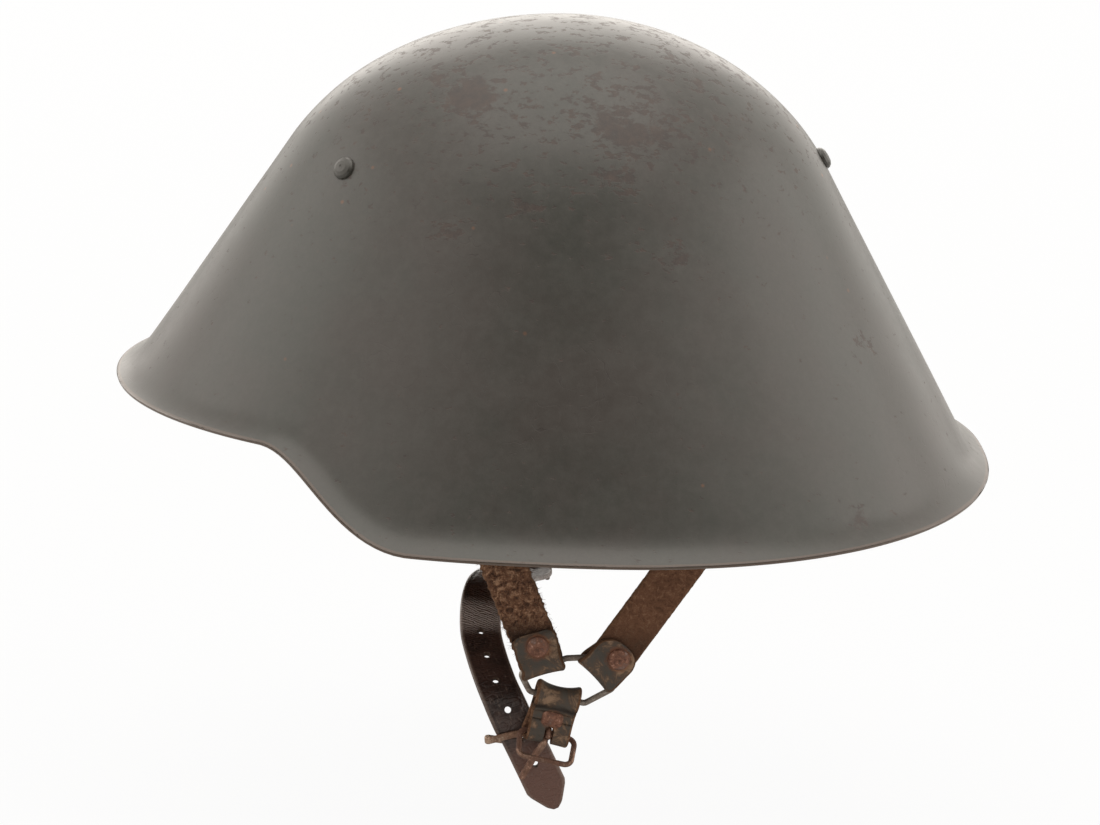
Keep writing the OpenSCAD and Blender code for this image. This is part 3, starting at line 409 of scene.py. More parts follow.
# Scratches: thin lines where a stretched noise crosses its middle value
streak = add(tree, "TexNoise", {
    "Vector": add(tree, "Mapping", {"Vector": spot, "Scale": (1.0, 0.12, 1.0),
        "Rotation": (0.5, 0.3, 0.9)}), "Scale": per_metre(11), "Detail": 1.5})
near_line = add(tree, "Math", {0: add(tree, "Math", {0: streak, 1: 0.5}, operation="SUBTRACT")},
    operation="ABSOLUTE")
scratches = add(tree, "Math", {
    0: add(tree, "MapRange", {"Value": near_line, "From Min": 0.0035, "From Max": 0.001},
        interpolation_type="SMOOTHSTEP"),
    1: add(tree, "MapRange", {"Value": cloud, "From Min": 0.5, "From Max": 0.6},
        interpolation_type="SMOOTHSTEP")}, operation="MULTIPLY")
scored = cover(tree, rusted, primer_brown, scratches, 0.45)
edge_share = summed_ramp(tree, grime, 0.5, add(tree, "Attribute", out="Fac", attribute_name="edge"), 0.62,
    0.95)
paint_colour = add(tree, "Mix", {0: edge_share, 6: scored, 7: bare_edge}, "Result", data_type="RGBA")
peel = add(tree, "Math", {0: add(tree, "TexNoise", {"Vector": spot, "Scale": per_metre(1.6), "Detail": 3}),
    1: 0.5}, operation="MULTIPLY")
low_chips = add(tree, "Math", {0: chipped, 1: -0.7, 2: peel}, operation="MULTIPLY_ADD")
low_lines = add(tree, "Math", {0: scratches, 1: -0.5, 2: low_chips}, operation="MULTIPLY_ADD")
shine = add(tree, "MapRange", {
    "Value": grime, "From Min": 0.3, "From Max": 0.7, "To Min": 0.29, "To Max": 0.38})
dull_chips = add(tree, "Math", {0: chipped, 1: 0.2, 2: shine}, operation="MULTIPLY_ADD")
finish(tree, paint_colour, dull_chips, low_lines, 0.00006, 0.7, IOR=1.5, Coat_Weight=0.22,
       Coat_Roughness=0.26)

# The pressed sheet: the outer face from the crown to the rim, a round raw edge, and the inner face back up
turn_grid, share_grid = np.meshgrid(full_turn(shell_columns), np.linspace(0, 1, outer_rows))
outside = shell_rows(turn_grid, share_grid)
outward = -normals_of(outside)
from_inside = outside * (1, 1, 0) + (0, 0, 0.05)
outward *= np.sign(np.sum(outward * from_inside, axis=-1, keepdims=True) + 1e-9)
outward[0] = (0, 0, 1)
keep = smooth(1.0, 0.96, share_grid) * smooth(0, 0.05, share_grid)
unevenness = wander * keep * (ripple(outside, 0.075) + 0.5 * ripple(outside, 0.031))
outside = outside + unevenness[..., None] * outward
inner_pick = np.linspace(outer_rows - 1, 0, inner_rows).astype(int)
inside = outside[inner_pick] - sheet * outward[inner_pick]
rim_way = unit(outside[-1] - outside[-2])
rim_back = lip_back * sheet * rim_way
nose_middle = outside[-1] - sheet / 2 * outward[-1] - rim_back
nose_turn = np.linspace(0, math.pi, nose_rows + 2)[1:-1][:, None, None]
nose = nose_middle + sheet / 2 * (np.cos(nose_turn) * outward[-1] + lip_bulge * np.sin(nose_turn) * rim_way)
outside[-1] -= rim_back
inside[0] -= rim_back
shell_grid = np.concatenate([outside, nose, inside])

# Where the paint is worn: all over a little, the crown more, and ten spots, each with its place, its
# spread and its amount, in metres. The edge's mark bares the rim.
wear_all = 0.12
wear_crown = 0.5
wear_low = 0.08
wear_high = 0.158
wear_inside = 0.1
edge_bare = 0.75
edge_far = 0.0017
edge_near = 0.0007
worn_spots = [((-0.010, 0.055, 0.139), 0.011, 0.45), ((-0.024, 0.058, 0.132), 0.010, 0.5),
              ((-0.014, 0.070, 0.121), 0.008, 0.8), ((0.037, 0.046, 0.141), 0.012, 0.4),
              ((-0.036, 0.050, 0.137), 0.010, 0.35), ((0.043, 0.074, 0.101), 0.006, 0.9),
              ((-0.034, 0.079, 0.094), 0.006, 0.9), ((0.016, 0.075, 0.111), 0.008, 0.6),
              ((-0.104, 0.055, 0.061), 0.007, 0.8), ((-0.102, 0.103, 0.010), 0.006, 0.8)]
shell_wear = wear_crown * smooth(wear_low, wear_high, shell_grid[..., 2]) + wear_all
for middle, spread, amount in worn_spots:
    apart = np.linalg.norm(shell_grid - middle, axis=-1)
    shell_wear = shell_wear + amount * bell(apart, spread)
shell_edge = np.zeros(shell_grid.shape[:2])
rim_gap = np.linalg.norm(shell_grid[:outer_rows] - shell_grid[outer_rows - 1], axis=-1)
shell_edge[:outer_rows] = edge_bare * smooth(edge_far, edge_near, rim_gap)
shell_edge[outer_rows:outer_rows + nose_rows + 1] = edge_bare
shell_wear[outer_rows + nose_rows:] = wear_inside
make_piece("pressed_shell", shell_grid, grid_faces(len(shell_grid), shell_columns), shell_paint, "helmet",
           "shell_paint", ["shell"], {"wear": shell_wear, "edge": shell_edge}, close=0.00001)

# The strap hardware on each side: a bent wire ring that gathers two strap legs and, on the wearer's
# left, the buckle tab. It is drawn steel wire, once plated, now grey with brown rust.
mm = 0.001
yoke_y = 86 * mm
yoke_z = 30 * mm
ring_corners = np.array([(13, -54), (-3.5, -48.6), (-11, -48), (-21.5, -58.5), (-10.5, -65), (9, -61.2)]) * mm
ring_wire = 1.1 * mm
ring_bend = 2 * mm
bail_wire = 1.2 * mm
bail_half = 11 * mm
bail_bend = 2.4 * mm
bail_drop = 12 * mm
clip_x = {"front": 40 * mm, "rear": -70 * mm}
ring_side = {"front": ring_corners[[0, 1]], "rear": ring_corners[[2, 3]], "tab": ring_corners[[4, 5]]}
sides = {"left": 1, "right": -1}
leg_width = 16 * mm
leather = 2 * mm
fold_play = 0.3 * mm
leftwards = np.array((0.0, 1.0, 0.0))
pinch = 5.5 * mm
flap_length = 12.5 * mm


def rounded(corners, radius, steps=6):
    """A closed line through corners, each replaced by an arc of this radius between its two tangents."""
    corners = np.asarray(corners, float)
    arcs = []
    for i, corner in enumerate(corners):
        to_last = unit(corners[i - 1] - corner)
        to_next = unit(corners[(i + 1) % len(corners)] - corner)
        half_angle = math.acos(float(np.clip(to_last @ to_next, -1, 1))) / 2
        inwards = unit(to_last + to_next)
        middle = corner + inwards * radius / math.sin(half_angle)
        sweep = np.linspace(-1, 1, steps + 1)[:, None] * (math.pi / 2 - half_angle)
        aside = unit(to_next - (to_next @ inwards) * inwards)
        arcs.append(middle + radius * (-np.cos(sweep) * inwards + np.sin(sweep) * aside))
    return np.concatenate(arcs)


def closed_solid(points, faces):
    """The faces, turned over if the volume that they enclose comes out negative."""
    p = np.asarray(points, float).reshape(-1, 3)
    a, b, c, d = (p[faces[:, k]] for k in range(4))
    volume = (np.einsum("ij,ij->i", a, np.cross(b, c)) + np.einsum("ij,ij->i", a, np.cross(c, d))).sum()
    return faces if volume > 0 else faces[:, ::-1]


def wire(path, radius, side_way, around=14, closed=True):
    """A round section carried along a path: each point of it is the path's point plus the cosine of its
    turn along the path's normal in the plane, and the sine along side_way."""
    if closed:
        along = unit(np.roll(path, -1, axis=0) - np.roll(path, 1, axis=0))
    else:
        along = unit(np.gradient(path, axis=0))
    side = unit(side_way - np.sum(along * side_way, axis=1, keepdims=True) * along)
    normal = np.cross(along, side)
    turn = full_turn(around)[None, :, None]
    radii = np.broadcast_to(np.asarray(radius, float).reshape(-1, 1, 1), (len(path), 1, 1))
    points = path[:, None] + radii * (np.cos(turn) * normal[:, None] + np.sin(turn) * side[:, None])
    rows = len(path)
    if closed:
        faces = grid_faces(rows + 1, around) % (rows * around)
    else:
        points = np.concatenate([np.broadcast_to(path[:1, None], (1, around, 3)), points,
                                 np.broadcast_to(path[-1:, None], (1, around, 3))])
        faces = grid_faces(rows + 2, around)
    return points.reshape(-1, 3), closed_solid(points, faces)


def join(parts):
    """Several sets of points and faces as one set."""
    shifts = np.cumsum([0] + [len(points) for points, _ in parts[:-1]])
    return (np.concatenate([points for points, _ in parts]),
            np.concatenate([faces + shift for (_, faces), shift in zip(parts, shifts)]))


def upright(plane_points, side, depth=0.0):
    """Points of the strap's plane, given by x and z, on one side of the helmet."""
    plane_points = np.asarray(plane_points, float)
    y = np.broadcast_to(side * (yoke_y + np.asarray(depth, float)), plane_points.shape[:-1])
    return np.stack([plane_points[..., 0], y, plane_points[..., 1]], axis=-1)


# Drawn steel wire: grey zinc or nickel that has gone dull, with brown oxide in the bends and pits.
def metal_finish(name, clean, rust_level, roughness=0.45, oxides=("#3a261c", "#5b3a29", "#8c5b3c"),
                 worn_dark="#57534c"):
    """Plain metal under brown oxide: a fine and a broad noise together say where the oxide lies.
    The higher the level, the more metal is left. The three oxides go from dark to pale."""
    material, tree = new_material(name)
    spot = add(tree, "TexCoord", out="Object")
    fine = add(tree, "TexNoise", {"Vector": spot, "Scale": per_metre(1.3), "Detail": 6, "Roughness": 0.7})
    rust = summed_ramp(tree, fine, 0.55,
        add(tree, "TexNoise", {"Vector": spot, "Scale": per_metre(9), "Detail": 4}), rust_level - 0.07,
        rust_level + 0.07)
    mottle = add(tree, "MapRange", {"Value": fine, "From Min": 0.3, "From Max": 0.7},
        interpolation_type="SMOOTHSTEP")
    clean_tone = add(tree, "Mix", {0: mottle, 6: linear(clean), 7: linear(worn_dark)}, "Result",
        data_type="RGBA")
    deep = add(tree, "Mix", {0: mottle, 6: linear(oxides[0]), 7: linear(oxides[1])}, "Result",
        data_type="RGBA")
    oxide_tone = add(tree, "Mix", {
        0: add(tree, "MapRange", {"Value": fine, "From Min": 0.58, "From Max": 0.72},
            interpolation_type="SMOOTHSTEP"), 6: deep, 7: linear(oxides[2])}, "Result", data_type="RGBA")
    finish(tree, add(tree, "Mix", {0: rust, 6: clean_tone, 7: oxide_tone}, "Result", data_type="RGBA"),
        add(tree, "MapRange", {"Value": rust, "To Min": roughness, "To Max": 0.75}), fine, 0.00018, 0.8,
        Metallic=add(tree, "MapRange", {"Value": rust, "To Min": 1.0, "To Max": 0.0}))
    return material


plated_wire = metal_finish("dull_plated_wire", "#a39b93", 0.74, 0.5, ("#54443a", "#857a71", "#a89f97"),
                           "#7d746c")
for side_name, side in sides.items():
    ring = wire(upright(rounded(ring_corners, ring_bend), side), ring_wire, leftwards)
    make_piece(side_name + "_ring_wire", *ring, plated_wire, side_name + "_yoke", "bare_steel",
               [side_name + "_ring"])


# The bails: four small wire loops that swing in the clips' rolled eyes and carry the strap legs.
def middle_of(pair):
    """The point half way between two."""
    return (pair[0] + pair[1]) / 2


def above(pair):
    """The upward direction square to the line between two points of the strap's plane."""
    line = unit(pair[1] - pair[0])
    normal = np.array((-line[1], line[0]))
    return normal if normal[1] > 0 else -normal


legs = {}
for end in ("front", "rear"):
    foot = middle_of(ring_side[end])
    eye = np.array((clip_x[end], yoke_z))
    way = unit(eye - foot)
    top = eye + bail_drop / (eye[1] - foot[1]) * (foot - eye)
    legs[end] = {"foot": foot, "way": way, "across": np.array((way[1], -way[0])), "top": top, "eye": eye,
                 "foot_up": above(ring_side[end])}
for side_name, side in sides.items():
    for end, leg in legs.items():
        reach = leg["across"] * (leg_width / 2 + fold_play + bail_bend)
        eye, top = leg["eye"], leg["top"]
        corners = [eye + (bail_half, 0), eye - (bail_half, 0), top - reach, top + reach]
        bail = wire(upright(rounded(corners, bail_bend), side), bail_wire, leftwards)
        make_piece(f"{side_name}_{end}_bail_wire", *bail, plated_wire, side_name + "_yoke", "bare_steel",
                   [f"bail_{side_name}_{end}"])


# The strap legs: vegetable-tanned cowhide, worn flesh side out, each end folded round a wire and
# riveted to itself, so that the folded flaps show the smooth grain side. The front leg is the fuzzier.
strip_columns = 15
leg_rows = 150
flap_rows = 16
fold_rows = 14
fray = {"front": 0.3 * mm, "rear": 0.06 * mm}
flap_corner = {"front": 2.5 * mm, "rear": 6.5 * mm}
corner_share = 0.9
saddle_depth = 0.5 * mm


def fold_path(wire_radius, long, saddle=0.0, play=fold_play):
    """Distances along and out of the plane for a strip's middle line that comes down the outer layer,
    round a wire and up the inner layer: straight runs joined by an arc between its two tangents.
    A column of offsets in saddle widens the arc towards the strip's edges."""
    saddle = np.atleast_1d(saddle)[None, :]
    radius = wire_radius + play + leather / 2 + saddle
    half_gap = leather / 2
    turn = math.atan2(half_gap, pinch) + np.arccos(radius / math.hypot(pinch, half_gap))
    arc = turn + (2 * math.pi - 2 * turn) * np.linspace(0, 1, fold_rows)[:, None]
    run = np.linspace(long, pinch, flap_rows)[:, None] + 0 * saddle
    lead = np.linspace(0, 1, 5)[1:-1][:, None]
    along_in = pinch + (radius * np.cos(turn) - pinch) * lead
    out_in = half_gap + (radius * np.sin(turn) - half_gap) * lead
    last = 0 * saddle
    along = np.concatenate([run, along_in, radius * np.cos(arc), along_in[::-1], last + pinch])
    out = np.concatenate([half_gap + 0 * run, out_in, radius * np.sin(arc), -out_in[::-1], last - half_gap])
    return along, out


def thicken(middle, half, closing=None):
    """A closed strip of leather from a grid of its middle surface: each row becomes a loop with the two
    faces at plus and minus half a thickness along the normal, joined by half-round edges. Closing is
    the share of the thickness that each row has, 0 at the strip's ends; without it the last row joins
    the first, as on a sewn belt."""
    belt = closing is None
    if belt:
        closing = np.ones(len(middle) + 4)
        middle = np.concatenate([middle[-2:], middle, middle[:2]])
    normal = unit(np.cross(np.gradient(middle, axis=0), np.gradient(middle, axis=1)))
    reach = half * np.asarray(closing)[:, None, None]
    nose = np.linspace(math.pi / 2, -math.pi / 2, 7)[1:-1][None, :, None]
    right = unit(middle[:, -1] - middle[:, -2])[:, None]
    left = unit(middle[:, 0] - middle[:, 1])[:, None]
    right_nose = middle[:, -1:] + reach * (np.cos(nose) * right + np.sin(nose) * normal[:, -1:])
    left_nose = middle[:, :1] + reach * (np.cos(nose) * left - np.sin(nose) * normal[:, :1])
    back = (middle - reach * normal)[:, ::-1]
    loops = np.concatenate([middle + reach * normal, right_nose, back, left_nose], axis=1)
    if belt:
        loops = loops[2:-2]
        rows, around = loops.shape[:2]
        return loops, closed_solid(loops, grid_faces(rows + 1, around) % (rows * around))
    return loops, closed_solid(loops, grid_faces(*loops.shape[:2]))


def end_rows(count, fine=5):
    """Closing shares for a strip of so many rows: a sine's rise over the first few, its fall at the end."""
    closing = np.ones(count)
    rise = np.sin(np.linspace(0, math.pi / 2, fine))
    closing[:fine] = rise
    closing[-fine:] = rise[::-1]
    return closing


def leg_middle(end, columns):
    """The middle surface of a leg in the strap's plane: rows of x and z, and depth, from the lower flap's end
    round the ring's wire, up the leg, and round the bail's wire to the upper flap's end."""
    leg = legs[end]
    half = leg_width / 2 - leather / 2
    u = np.linspace(-1, 1, columns)
    aside = (u * half)[:, None] * leg["across"]
    climb = (pinch - aside @ leg["foot_up"]) / (leg["way"] @ leg["foot_up"])
    foot_edge = leg["foot"] + aside + climb[:, None] * leg["way"]
    wire_way = np.array((leg["foot_up"][1], -leg["foot_up"][0]))
    on_wire = (foot_edge - leg["foot"]) @ wire_way
    low_along, low_out = fold_path(ring_wire, flap_length, saddle_depth * u ** 2)
    d = np.linspace(0, flap_length - pinch, flap_rows)
    corner = flap_corner[end]
    narrowing = np.ones(len(low_along))
    inside_corner = np.clip(1 - d / corner, 0, 1)
    narrowing[:flap_rows] = 1 - corner_share * corner / half * (1 - np.sqrt(1 - inside_corner ** 2))
    low = (leg["foot"] + (on_wire * narrowing[:, None])[..., None] * wire_way
           + low_along[..., None] * leg["foot_up"])
    high_along, high_out = fold_path(bail_wire, flap_length)
    high_along, high_out = high_along[::-1], high_out[::-1]
    high = leg["top"] + aside - high_along[..., None] * leg["way"]
    share = np.linspace(0, 1, leg_rows + 2)[1:-1][:, None, None]
    run = low[-1] + share * (high[0] - low[-1])
    plane = np.concatenate([low, run, high])
    out = np.concatenate([low_out + 0 * u, np.full((leg_rows, columns), -leather / 2), high_out + 0 * u])
    return plane, out


def fray_edges(middle, amount, seed):
    """Moves a strip's outer columns in and out by smoothed random steps, for a torn cut edge."""
    random = np.random.default_rng(seed)
    across = unit(middle[:, -1] - middle[:, 0])
    for column, way in ((0, -1), (-1, 1)):
        steps = random.normal(0, 1, len(middle) + 4)
        smooth_steps = np.convolve(steps, (0.1, 0.4, 0.4, 0.1), "valid")[:len(middle)]
        row = np.arange(len(middle))
        ends = np.minimum(1, np.minimum(row, row[::-1]) / 6)
        middle[:, column] += way * (amount * smooth_steps * ends)[:, None] * across
    return middle


def grain_share(loops, columns, outward, run_row):
    """1 on the leather's grain side, 0 on its flesh side and a half on its cut edges. On the given row the
    flesh side is the one that lies further outwards."""
    around = loops.shape[1]
    edge = (around - 2 * columns) // 2
    first_out = loops[run_row, columns // 2] @ outward
    second_out = loops[run_row, columns + edge + columns // 2] @ outward
    first = 0.0 if first_out > second_out else 1.0
    across = np.repeat((first, 0.5, 1 - first, 0.5), (columns, edge, columns, edge))
    return np.broadcast_to(across, loops.shape[:2])


# Old strap leather. The flesh side is a felt of brown fibres that has picked up grease near the ring;
# the grain side is grey-brown, scuffed to tan on its high spots, with rust bled from the rivets.
flesh_deep = linear("#3b271c")
flesh_brown = linear("#72503c")
flesh_tan = linear("#a88469")
grease_and_shade = linear("#1d130d")
grain_grey = linear("#4b4640")
grain_brown = linear("#5c4636")
grain_scuff = linear("#9d8168")
cut_tan = linear("#6b4e38")
rust_bleed = linear("#854a28")

strap_leather, tree = new_material("old_strap_leather")
spot = add(tree, "TexCoord", out="Object")
grain = add(tree, "Attribute", out="Fac", attribute_name="grain")
short_fibre = add(tree, "TexNoise", {"Vector": spot, "Scale": per_metre(0.75), "Detail": 4,
    "Roughness": 0.7, "Distortion": 1.2})
fibre = add(tree, "TexNoise", {"Vector": spot, "Scale": per_metre(2.2), "Detail": 4, "Roughness": 0.6,
    "Distortion": 0.8})
fibre_mix = add(tree, "Math", {0: short_fibre, 1: 0.6, 2: fibre}, operation="MULTIPLY_ADD")
nap = add(tree, "Mix", {0: add(tree, "Attribute", out="Fac", attribute_name="smoothed"), 2: fibre_mix,
    3: 0.8})
flesh = add(tree, "Mix", {
    0: add(tree, "MapRange", {"Value": nap, "From Min": 0.62, "From Max": 0.84},
        interpolation_type="SMOOTHSTEP"), 6: flesh_deep, 7: flesh_brown}, "Result", data_type="RGBA")
flesh = add(tree, "Mix", {
    0: add(tree, "MapRange", {"Value": nap, "From Min": 0.8, "From Max": 0.98},
        interpolation_type="SMOOTHSTEP"), 6: flesh, 7: flesh_tan}, "Result", data_type="RGBA")
soil_share = summed_ramp(tree, fibre, 0.9, add(tree, "Attribute", out="Fac", attribute_name="soil"), 0.55,
    1.35)
flesh = cover(tree, flesh, grease_and_shade, soil_share, 0.82)
scuff = add(tree, "TexNoise", {"Vector": spot, "Scale": per_metre(6), "Detail": 8, "Roughness": 0.72,
    "Distortion": 0.6})
grain_side = add(tree, "Mix", {
    0: add(tree, "MapRange", {"Value": scuff, "From Min": 0.4, "From Max": 0.62},
        interpolation_type="SMOOTHSTEP"), 6: grain_grey, 7: grain_brown}, "Result", data_type="RGBA")
grain_side = cover(tree, grain_side, grain_scuff,
    add(tree, "MapRange", {"Value": scuff, "From Min": 0.5, "From Max": 0.63},
        interpolation_type="SMOOTHSTEP"), 0.7)
is_grain = add(tree, "MapRange", {"Value": grain, "From Min": 0.5, "From Max": 0.85},
    interpolation_type="SMOOTHSTEP")
is_edge = add(tree, "Math", {
    0: add(tree, "MapRange", {"Value": grain, "From Min": 0.15, "From Max": 0.4},
        interpolation_type="SMOOTHSTEP"),
    1: add(tree, "MapRange", {"Value": grain, "From Min": 0.9, "From Max": 0.6},
        interpolation_type="SMOOTHSTEP")}, operation="MULTIPLY")
hide = cover(tree, add(tree, "Mix", {0: is_grain, 6: flesh, 7: grain_side}, "Result", data_type="RGBA"),
    cut_tan, is_edge, 0.55)
stain_share = summed_ramp(tree, fibre, 0.5, add(tree, "Attribute", out="Fac", attribute_name="stain"), 0.5,
    0.95)
hide = cover(tree, hide, rust_bleed, stain_share, 0.75)
# Painted shade: the tab's crease line is laid over with the dark grease colour, for the shade that falls in
# its groove
hide = cover(tree, hide, grease_and_shade, add(tree, "Attribute", out="Fac", attribute_name="crease"), 0.85)
relief = add(tree, "Mix", {0: is_grain, 2: fibre_mix, 3: scuff})
finish(tree, hide, add(tree, "MapRange", {"Value": is_grain, "To Min": 0.95, "To Max": 0.55}), relief,
    0.0007, 0.85, Specular_IOR_Level=0.3)

# Grease has climbed the legs from the ring. The rear leg is less soiled, and its nap is rubbed smoother
rivet_along = 7.6 * mm
stain_reach = 4.8 * mm
soil_top = -28 * mm
soil_foot = -46 * mm
soiled = {"front": 1.0, "rear": 0.55}
smoothed = {"front": 0.0, "rear": 0.6}
fray_seed = {"front": 7, "rear": 11}
leg_middles = {}
for side_name, side in sides.items():
    for end, leg in legs.items():
        plane, out = leg_middle(end, strip_columns)
        middle = fray_edges(upright(plane, side, out), fray[end], fray_seed[end])
        leg_middles[side_name, end] = middle
        loops, faces = thicken(middle, leather / 2, end_rows(len(middle)))
        share = grain_share(loops, strip_columns, side * leftwards, len(middle) // 2)
        foot_rivet = leg["foot"] + rivet_along * leg["foot_up"]
        apart = np.hypot(loops[..., 0] - foot_rivet[0], loops[..., 2] - foot_rivet[1])
        grease = smooth(soil_top, soil_foot, loops[..., 2]) * soiled[end]
        marks = {"grain": share, "soil": grease, "stain": bell(apart, stain_reach) * share,
                 "smoothed": np.full(share.shape, smoothed[end])}
        make_piece(f"{side_name}_{end}_strap_leg", loops, faces, strap_leather, side_name + "_yoke",
                   "strap_leather", [f"leg_{side_name}_{end}"], marks)

# Loose fibres of the front legs' flesh side: fine bent hairs on the face and, longer, along the cut edges.
face_hairs = 1500
edge_hairs = 420
hair_radius = 0.055 * mm
hair_curl = 0.5
face_sunk = 0.47
edge_sunk = 0.4
face_lengths = (0.5, 1.6)
edge_lengths = (0.5, 1.9)
hair_seed = {"left": 23, "right": 24}


def new_fibre(name, dark, mid, pale, hair, rough, depth):
    """A matt fibrous stuff in three tones, its hairs so many millimetres apart."""
    material, tree = new_material(name)
    spot = add(tree, "TexCoord", out="Object")
    tangle = add(tree, "TexNoise", {"Vector": spot, "Scale": per_metre(hair), "Detail": 6,
        "Roughness": 0.75, "Distortion": 2.0})
    tone = add(tree, "Mix", {
        0: add(tree, "MapRange", {"Value": tangle, "From Min": 0.35, "From Max": 0.6},
            interpolation_type="SMOOTHSTEP"), 6: linear(dark), 7: linear(mid)}, "Result", data_type="RGBA")
    faded = add(tree, "Mix", {
        0: add(tree, "MapRange", {
            "Value": add(tree, "TexNoise", {"Vector": spot, "Scale": per_metre(14), "Detail": 3}),
            "From Min": 0.45, "From Max": 0.75}, interpolation_type="SMOOTHSTEP"), 6: tone,
        7: linear(pale)}, "Result", data_type="RGBA")
    finish(tree, faded, rough, tangle, depth, 0.8, Specular_IOR_Level=0.25, Sheen_Weight=0.2)
    return material


loose_fibre = new_fibre("loose_leather_fibre", "#3a251a", "#6b4a37", "#94745c", 2.5, 0.9, 0.0001)


def hairs(bases, ways, curls, lengths):
    """Tapering three-sided hairs: each bends away from its way by its curl times the square of the share
    along it."""
    share = np.array([0.0, 0.0, 0.4, 0.75, 1.0])
    size = hair_radius * np.array([0.0, 1.0, 0.85, 0.55, 0.0])
    spine = bases[:, None] + lengths[:, None, None] * (
        share[None, :, None] * ways[:, None] + (share ** 2)[None, :, None] * curls[:, None])
    first = unit(np.cross(ways, (0.31, 0.17, 0.93)))
    second = np.cross(ways, first)
    turn = full_turn(3)[None, :, None]
    round_way = np.cos(turn) * first[:, None] + np.sin(turn) * second[:, None]
    points = spine[:, :, None] + size[None, :, None, None] * round_way[:, None]
    faces = grid_faces(len(size), 3)[None] + 3 * len(size) * np.arange(len(bases))[:, None, None]
    return points.reshape(-1, 3), faces.reshape(-1, 4)


for side_name, side in sides.items():
    random = np.random.default_rng(hair_seed[side_name])
    middle = leg_middles[side_name, "front"]
    run_first = flap_rows + fold_rows + 7
    run_last = run_first + leg_rows - 8
    rows = random.integers(run_first, run_last, face_hairs)
    columns = random.integers(0, strip_columns, face_hairs)
    outward = side * leftwards
    bases = middle[rows, columns] + outward * leather * face_sunk
    lie = random.normal(0, 1, (face_hairs, 3)) * (1, 0.25, 1)
    ways = unit(unit(lie) + outward * random.uniform(0.1, 0.5, face_hairs)[:, None])
    curls = hair_curl * unit(random.normal(0, 1, (face_hairs, 3)))
    lengths = random.uniform(*face_lengths, face_hairs) * mm
    edge_rows = random.integers(run_first, run_last, edge_hairs)
    which = random.integers(0, 2, edge_hairs)
    across_leg = unit(middle[:, -1] - middle[:, 0])
    edge_side = (2 * which - 1)[:, None] * across_leg[edge_rows]
    edge_bases = middle[edge_rows, which * (strip_columns - 1)] + edge_side * leather * edge_sunk
    edge_ways = unit(edge_side + 0.7 * random.normal(0, 1, (edge_hairs, 3)))
    edge_curls = hair_curl * unit(random.normal(0, 1, (edge_hairs, 3)))
    edge_long = random.uniform(*edge_lengths, edge_hairs) * mm
    pairs = ((bases, edge_bases), (ways, edge_ways), (curls, edge_curls), (lengths, edge_long))
    fibres = hairs(*[np.concatenate(pair) for pair in pairs])
    make_piece(side_name + "_front_leg_fibres", *fibres, loose_fibre, side_name + "_yoke", "strap_leather",
               close=0.0000001)

# The strap rivets: solid steel, the heads hammered to a low dome with a small centre mark, rusted.
rivet_metal = metal_finish("rusted_rivet_steel", "#8c776e", 0.66, 0.5, ("#4c2d20", "#8c604c", "#b59382"),
                           "#6f5249")
strap_rivet_radius = 3.8 * mm
strap_rivet_rise = 1.6 * mm
shank_radius = 1.5 * mm
tail_radius = 2.4 * mm
tail_rise = 0.8 * mm


def turned(profile, place, axis, around=40):
    """A solid of revolution: each pair of radius and height in the profile becomes a ring round the axis,
    and the rings are joined in order."""
    axis = np.asarray(axis, float) / np.linalg.norm(axis)
    helper = np.array((0.0, 0.0, 1.0)) if abs(axis[2]) < 0.9 else np.array((1.0, 0.0, 0.0))
    first = unit(np.cross(helper, axis))
    second = np.cross(axis, first)
    turn = full_turn(around)[None, :, None]
    radius, height = np.asarray(profile, float).T[:, :, None, None]
    points = place + height * axis + radius * (np.cos(turn) * first + np.sin(turn) * second)
    return points.reshape(-1, 3), closed_solid(points, grid_faces(len(points), around))


def rivet_profile(radius, rise, grip=2 * leather, dimple=0.3):
    """From the top of the head, a dome with a dimple, down the shank to the flattened tail."""
    t = np.linspace(0, math.pi / 2, 16)
    out = radius * np.sin(t)
    dome = rise * (0.22 + 0.78 * np.cos(t) ** 0.8) - dimple * rise * bell(out, 0.2 * radius)
    head = list(zip(out, dome)) + [(radius, 0.1 * rise), (0.95 * radius, 0)]
    end = -grip - tail_rise
    foot = [(shank_radius, 0), (shank_radius, -grip), (tail_radius, -grip),
            (tail_radius, -grip - 0.6 * tail_rise), (0.7 * tail_radius, end), (0, end)]
    return head + foot


strap_rivet = rivet_profile(strap_rivet_radius, strap_rivet_rise)
for side_name, side in sides.items():
    heads = []
    for end, leg in legs.items():
        for middle in (leg["foot"] + rivet_along * leg["foot_up"], leg["top"] - rivet_along * leg["way"]):
            heads.append(turned(strap_rivet, upright(middle, side, leather), side * leftwards))
    make_piece(side_name + "_strap_rivet_heads", *join(heads), rivet_metal, side_name + "_yoke",
               "rusted_steel", [side_name + "_strap_rivets"], close=0.000001)


# The buckle tab: a short belt of the same leather round the ring's lower side and the buckle's bar. Its
# top edge has curled up at both ends, a crease runs across below the ring, and a slot lets the prong out.
tab_width = 16 * mm
tab_length = 14 * mm
hinge_play = 0.8 * mm
curl = 1.3 * mm
crease_along = 3.6 * mm
crease_depth = 0.55 * mm
crease_reach = 0.7 * mm
back_shift = 1.6 * mm
tab_columns = 33
bar_wire = 1 * mm
slot_width = 3.2 * mm
slot_start = 3.4 * mm
slot_reach = 8 * mm
tab_top = middle_of(ring_side["tab"])
tab_down = -above(ring_side["tab"])
tab_across = np.array((-tab_down[1], tab_down[0]))
buckle_bar = tab_top + tab_length * tab_down
tab_rivet_along = 0.56 * tab_length


